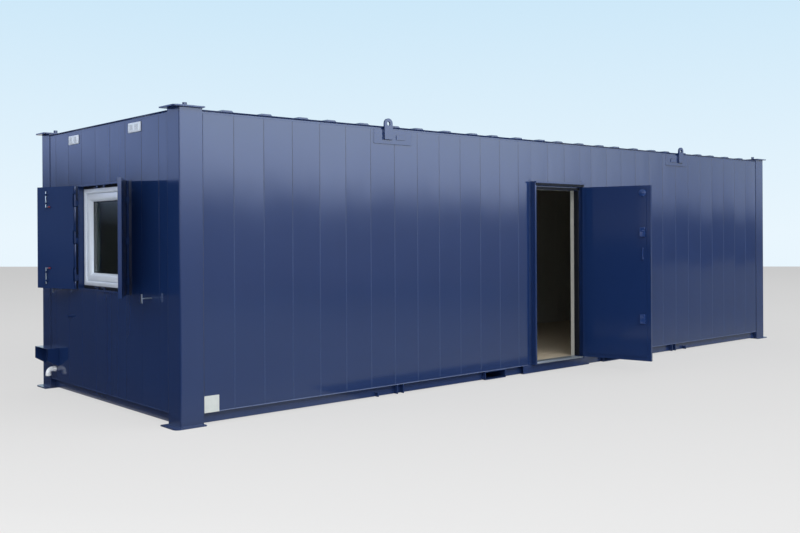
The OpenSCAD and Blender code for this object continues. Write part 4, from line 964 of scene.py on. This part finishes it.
# Float glass: clear with a grey-green cast, and a thin drifting film of dust that shifts it slightly.
glass = two_tone("float_glass", "#d2dbce", "#dae3d6", 250, 0.0, 2.0, Transmission_Weight=1.0, IOR=1.33)
panes = []
for x in PANES_X:
    pane = block(*inside(x, x + PANE_T, LIGHT_IN - PANE_LAP))
    soften(pane, 0.0006, 1)
    panes.append(pane)
sealed_unit = hand_in(join(panes), "sealed_unit", glass)
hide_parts("window_glass")
spacer = framed_ring(*inside(*SPACER_X, LIGHT_IN - SPACER_LAP), ((0.004, 0), (0.010, 0)))
soften(spacer, 0.0005)
hand_in(spacer, "glass_spacer", black_rubber_and_shade)
gaskets = []
for x0, x1 in GASKETS_X:
    gasket = framed_ring(*inside(x0, x1, LIGHT_IN - GASKET_LAP), ((0.002, 0.0005), (0.003, -0.001)))
    soften(gasket, 0.0005)
    gaskets.append(gasket)
hand_in(join(gaskets), "glazing_gaskets", black_rubber_and_shade)
FLANGE_X, OPENING_FOOT, OPENING_TOP = 0.042, 1.090, 2.092
# Painted shade: black strips on the surround's flange above and below the white frame darken the recess
# there.
RECESS_SHADE_T, RECESS_SHADE_END, RECESS_SHADE_CLEAR = 0.003, 0.002, 0.0005
recess_shades = []
for z0, z1 in ((OPENING_FOOT, window_low[2]), (window_high[2], OPENING_TOP)):
    recess_shade = block((FLANGE_X - RECESS_SHADE_T, window_low[1] + RECESS_SHADE_END, z0 + RECESS_SHADE_CLEAR),
                 (FLANGE_X, window_high[1] - RECESS_SHADE_END, z1 - RECESS_SHADE_CLEAR))
    soften(recess_shade, 0.001)
    recess_shades.append(recess_shade)
hand_in(join(recess_shades), "recess_painted_shade_strips", black_rubber_and_shade)
# Painted shade: two strips of the dark matt sealant stand on the wall beside the shutter hinges, darkening it
# where the open shutters shade it.
HINGE_SHADES_Y, HINGE_SHADE_OUT, HINGE_SHADE_BED, HINGE_SHADE_PAST = ((0.908, 0.957), (2.091, 2.140)), 0.002, 0.0005, 0.020
hinge_shade_strips = []
for y0, y1 in HINGE_SHADES_Y:
    hinge_shade_strip = block((WALL_FACE - HINGE_SHADE_OUT, y0, OPENING_FOOT - HINGE_SHADE_PAST),
                  (WALL_FACE + HINGE_SHADE_BED, y1, OPENING_TOP + HINGE_SHADE_PAST))
    soften(hinge_shade_strip, 0.0008)
    hinge_shade_strips.append(hinge_shade_strip)
hand_in(join(hinge_shade_strips), "hinge_side_painted_shade", sealant_and_shade_matt)

# Shutters
# Folded steel pans on pin hinges, with shoot bolts in guides on the left one and zinc hold-back catches on
# the wall. Each bolt's bent handle has a red plastic grip pushed on.
shutter_paint = navy_gloss("gloss_navy_on_shutters", edge_mm=2.0)
finish_nodes(shutter_paint, "left_shutter", "right_shutter", "shutter_frame_hinges", "bolt_guides",
             "bolt_keepers")
# Weathered zinc plate: a clouded grey metal whose highlights have gone soft.
bolt_zinc = two_tone("weathered_zinc_bolt", "#9da6b0", "#b4bcc4", 12, 0.4, 3.0, Metallic=1.0)
finish_nodes(bolt_zinc, "upper_bolt", "lower_bolt", "shutter_catches")
BARREL_R, BARREL_ROUND, BARREL_END = 0.010, 0.002, 0.001
HINGE_HALF, HINGE_SHARES = 0.066, (0.14, 0.5, 0.86)
shutter_low, shutter_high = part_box("left_shutter")
shutter_foot, shutter_top = shutter_low[2], shutter_high[2]
hinge_z = [shutter_foot + share * (shutter_top - shutter_foot) for share in HINGE_SHARES]
for body in ("left_shutter", "right_shutter"):
    pin_x, pin_y = joints[body + "_swing"]["pos_m"][:2]
    barrels = []
    for z0, z1 in zip([shutter_foot + BARREL_END] + [z + HINGE_HALF for z in hinge_z],
                      [z - HINGE_HALF for z in hinge_z] + [shutter_top - BARREL_END]):
        barrels.append(knob((pin_x, pin_y, z0), (0, 0, 1), BARREL_R, z1 - z0, 24, BARREL_ROUND))
    hand_in(join(barrels), f"{body}_hinge_barrels", shutter_paint, body)
# Dipped plastic: a dark red with a soft shine, scuffed by hands.
red_grip = two_tone("red_plastic_grip", "#661c29", "#862432", 5, 0.45, 3.0)
LEFT_OPEN = math.radians(-joints["left_shutter_swing"]["range_deg"][0])
LEFT_WAY = math.radians(270) - LEFT_OPEN
FROM_PIN = Vector((math.cos(LEFT_WAY), math.sin(LEFT_WAY), 0))
HANDLE_L, HANDLE_R, GRIP_L, GRIP_R, GRIP_ROUND, GRIP_PAST = 0.062, 0.005, 0.026, 0.008, 0.003, 0.003
for name, down in (("upper_bolt", True), ("lower_bolt", False)):
    points = [nodes[name].matrix_world @ v.co for v in nodes[name].data.vertices]
    heights = [p.z for p in points]
    tip = max(heights) if down else min(heights)
    foot = min(heights) + HANDLE_R if down else max(heights) - HANDLE_R
    ring = [p for p in points if abs(p.z - tip) < 0.0005]
    rod = sum(ring, Vector()) / len(ring)
    start = Vector((rod.x, rod.y, foot)) - FROM_PIN * (HANDLE_L - GRIP_L + GRIP_PAST)
    grip = knob(start, -FROM_PIN, GRIP_R, GRIP_L, 20, GRIP_ROUND)
    bpy.ops.object.mode_set(mode="EDIT")
    bpy.ops.mesh.select_all(action="SELECT")
    bpy.ops.mesh.normals_make_consistent(inside=False)
    bpy.ops.object.mode_set(mode="OBJECT")
    hand_in(grip, f"{name}_grip", red_grip, name)

# Services
# Low on the window end: a folded steel cable hood, a white plastic waste elbow and a short overflow spout.
# The elbow is solvent-welded, with a socket collar at the wall and another at its mouth.
finish_nodes(frame_paint, "cable_hood", "overflow_spout")
# Extruded waste pipe: a brighter white than the window, glossy, with a little chalk on it.
pipe_plastic = two_tone("white_waste_pipe", "#f0f5fa", "#fafcfe", 40, 0.35)
finish_nodes(pipe_plastic, "waste_elbow")
PIPE_R, COLLAR_OUT, COLLAR_T, COLLAR_ROUND = 0.025, 0.003, 0.005, 0.001
COLLAR_OFF, MOUTH_RISE = 0.004, 0.020
COLLAR_STEPS = [(0.003,), (0.010,), (0.003,)]
elbow_low, elbow_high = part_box("waste_elbow")
pipe_y = (elbow_low[1] + elbow_high[1]) / 2
collars = []
for place, way in (((WALL_FACE - COLLAR_OFF, pipe_y, elbow_high[2] - PIPE_R), ENDWARD),
                   ((elbow_low[0] + PIPE_R, pipe_y, elbow_low[2] + MOUTH_RISE), Vector((0, 0, -1)))):
    collar = bent_bar(place, way, (0, 1, 0), PIPE_R + COLLAR_OUT, COLLAR_STEPS, 32)
    wall = collar.modifiers.new("wall", "SOLIDIFY")
    wall.thickness = COLLAR_T
    bpy.ops.object.modifier_apply(modifier=wall.name)
    soften(collar, COLLAR_ROUND)
    collars.append(collar)
hand_in(join(collars), "elbow_collars", pipe_plastic)
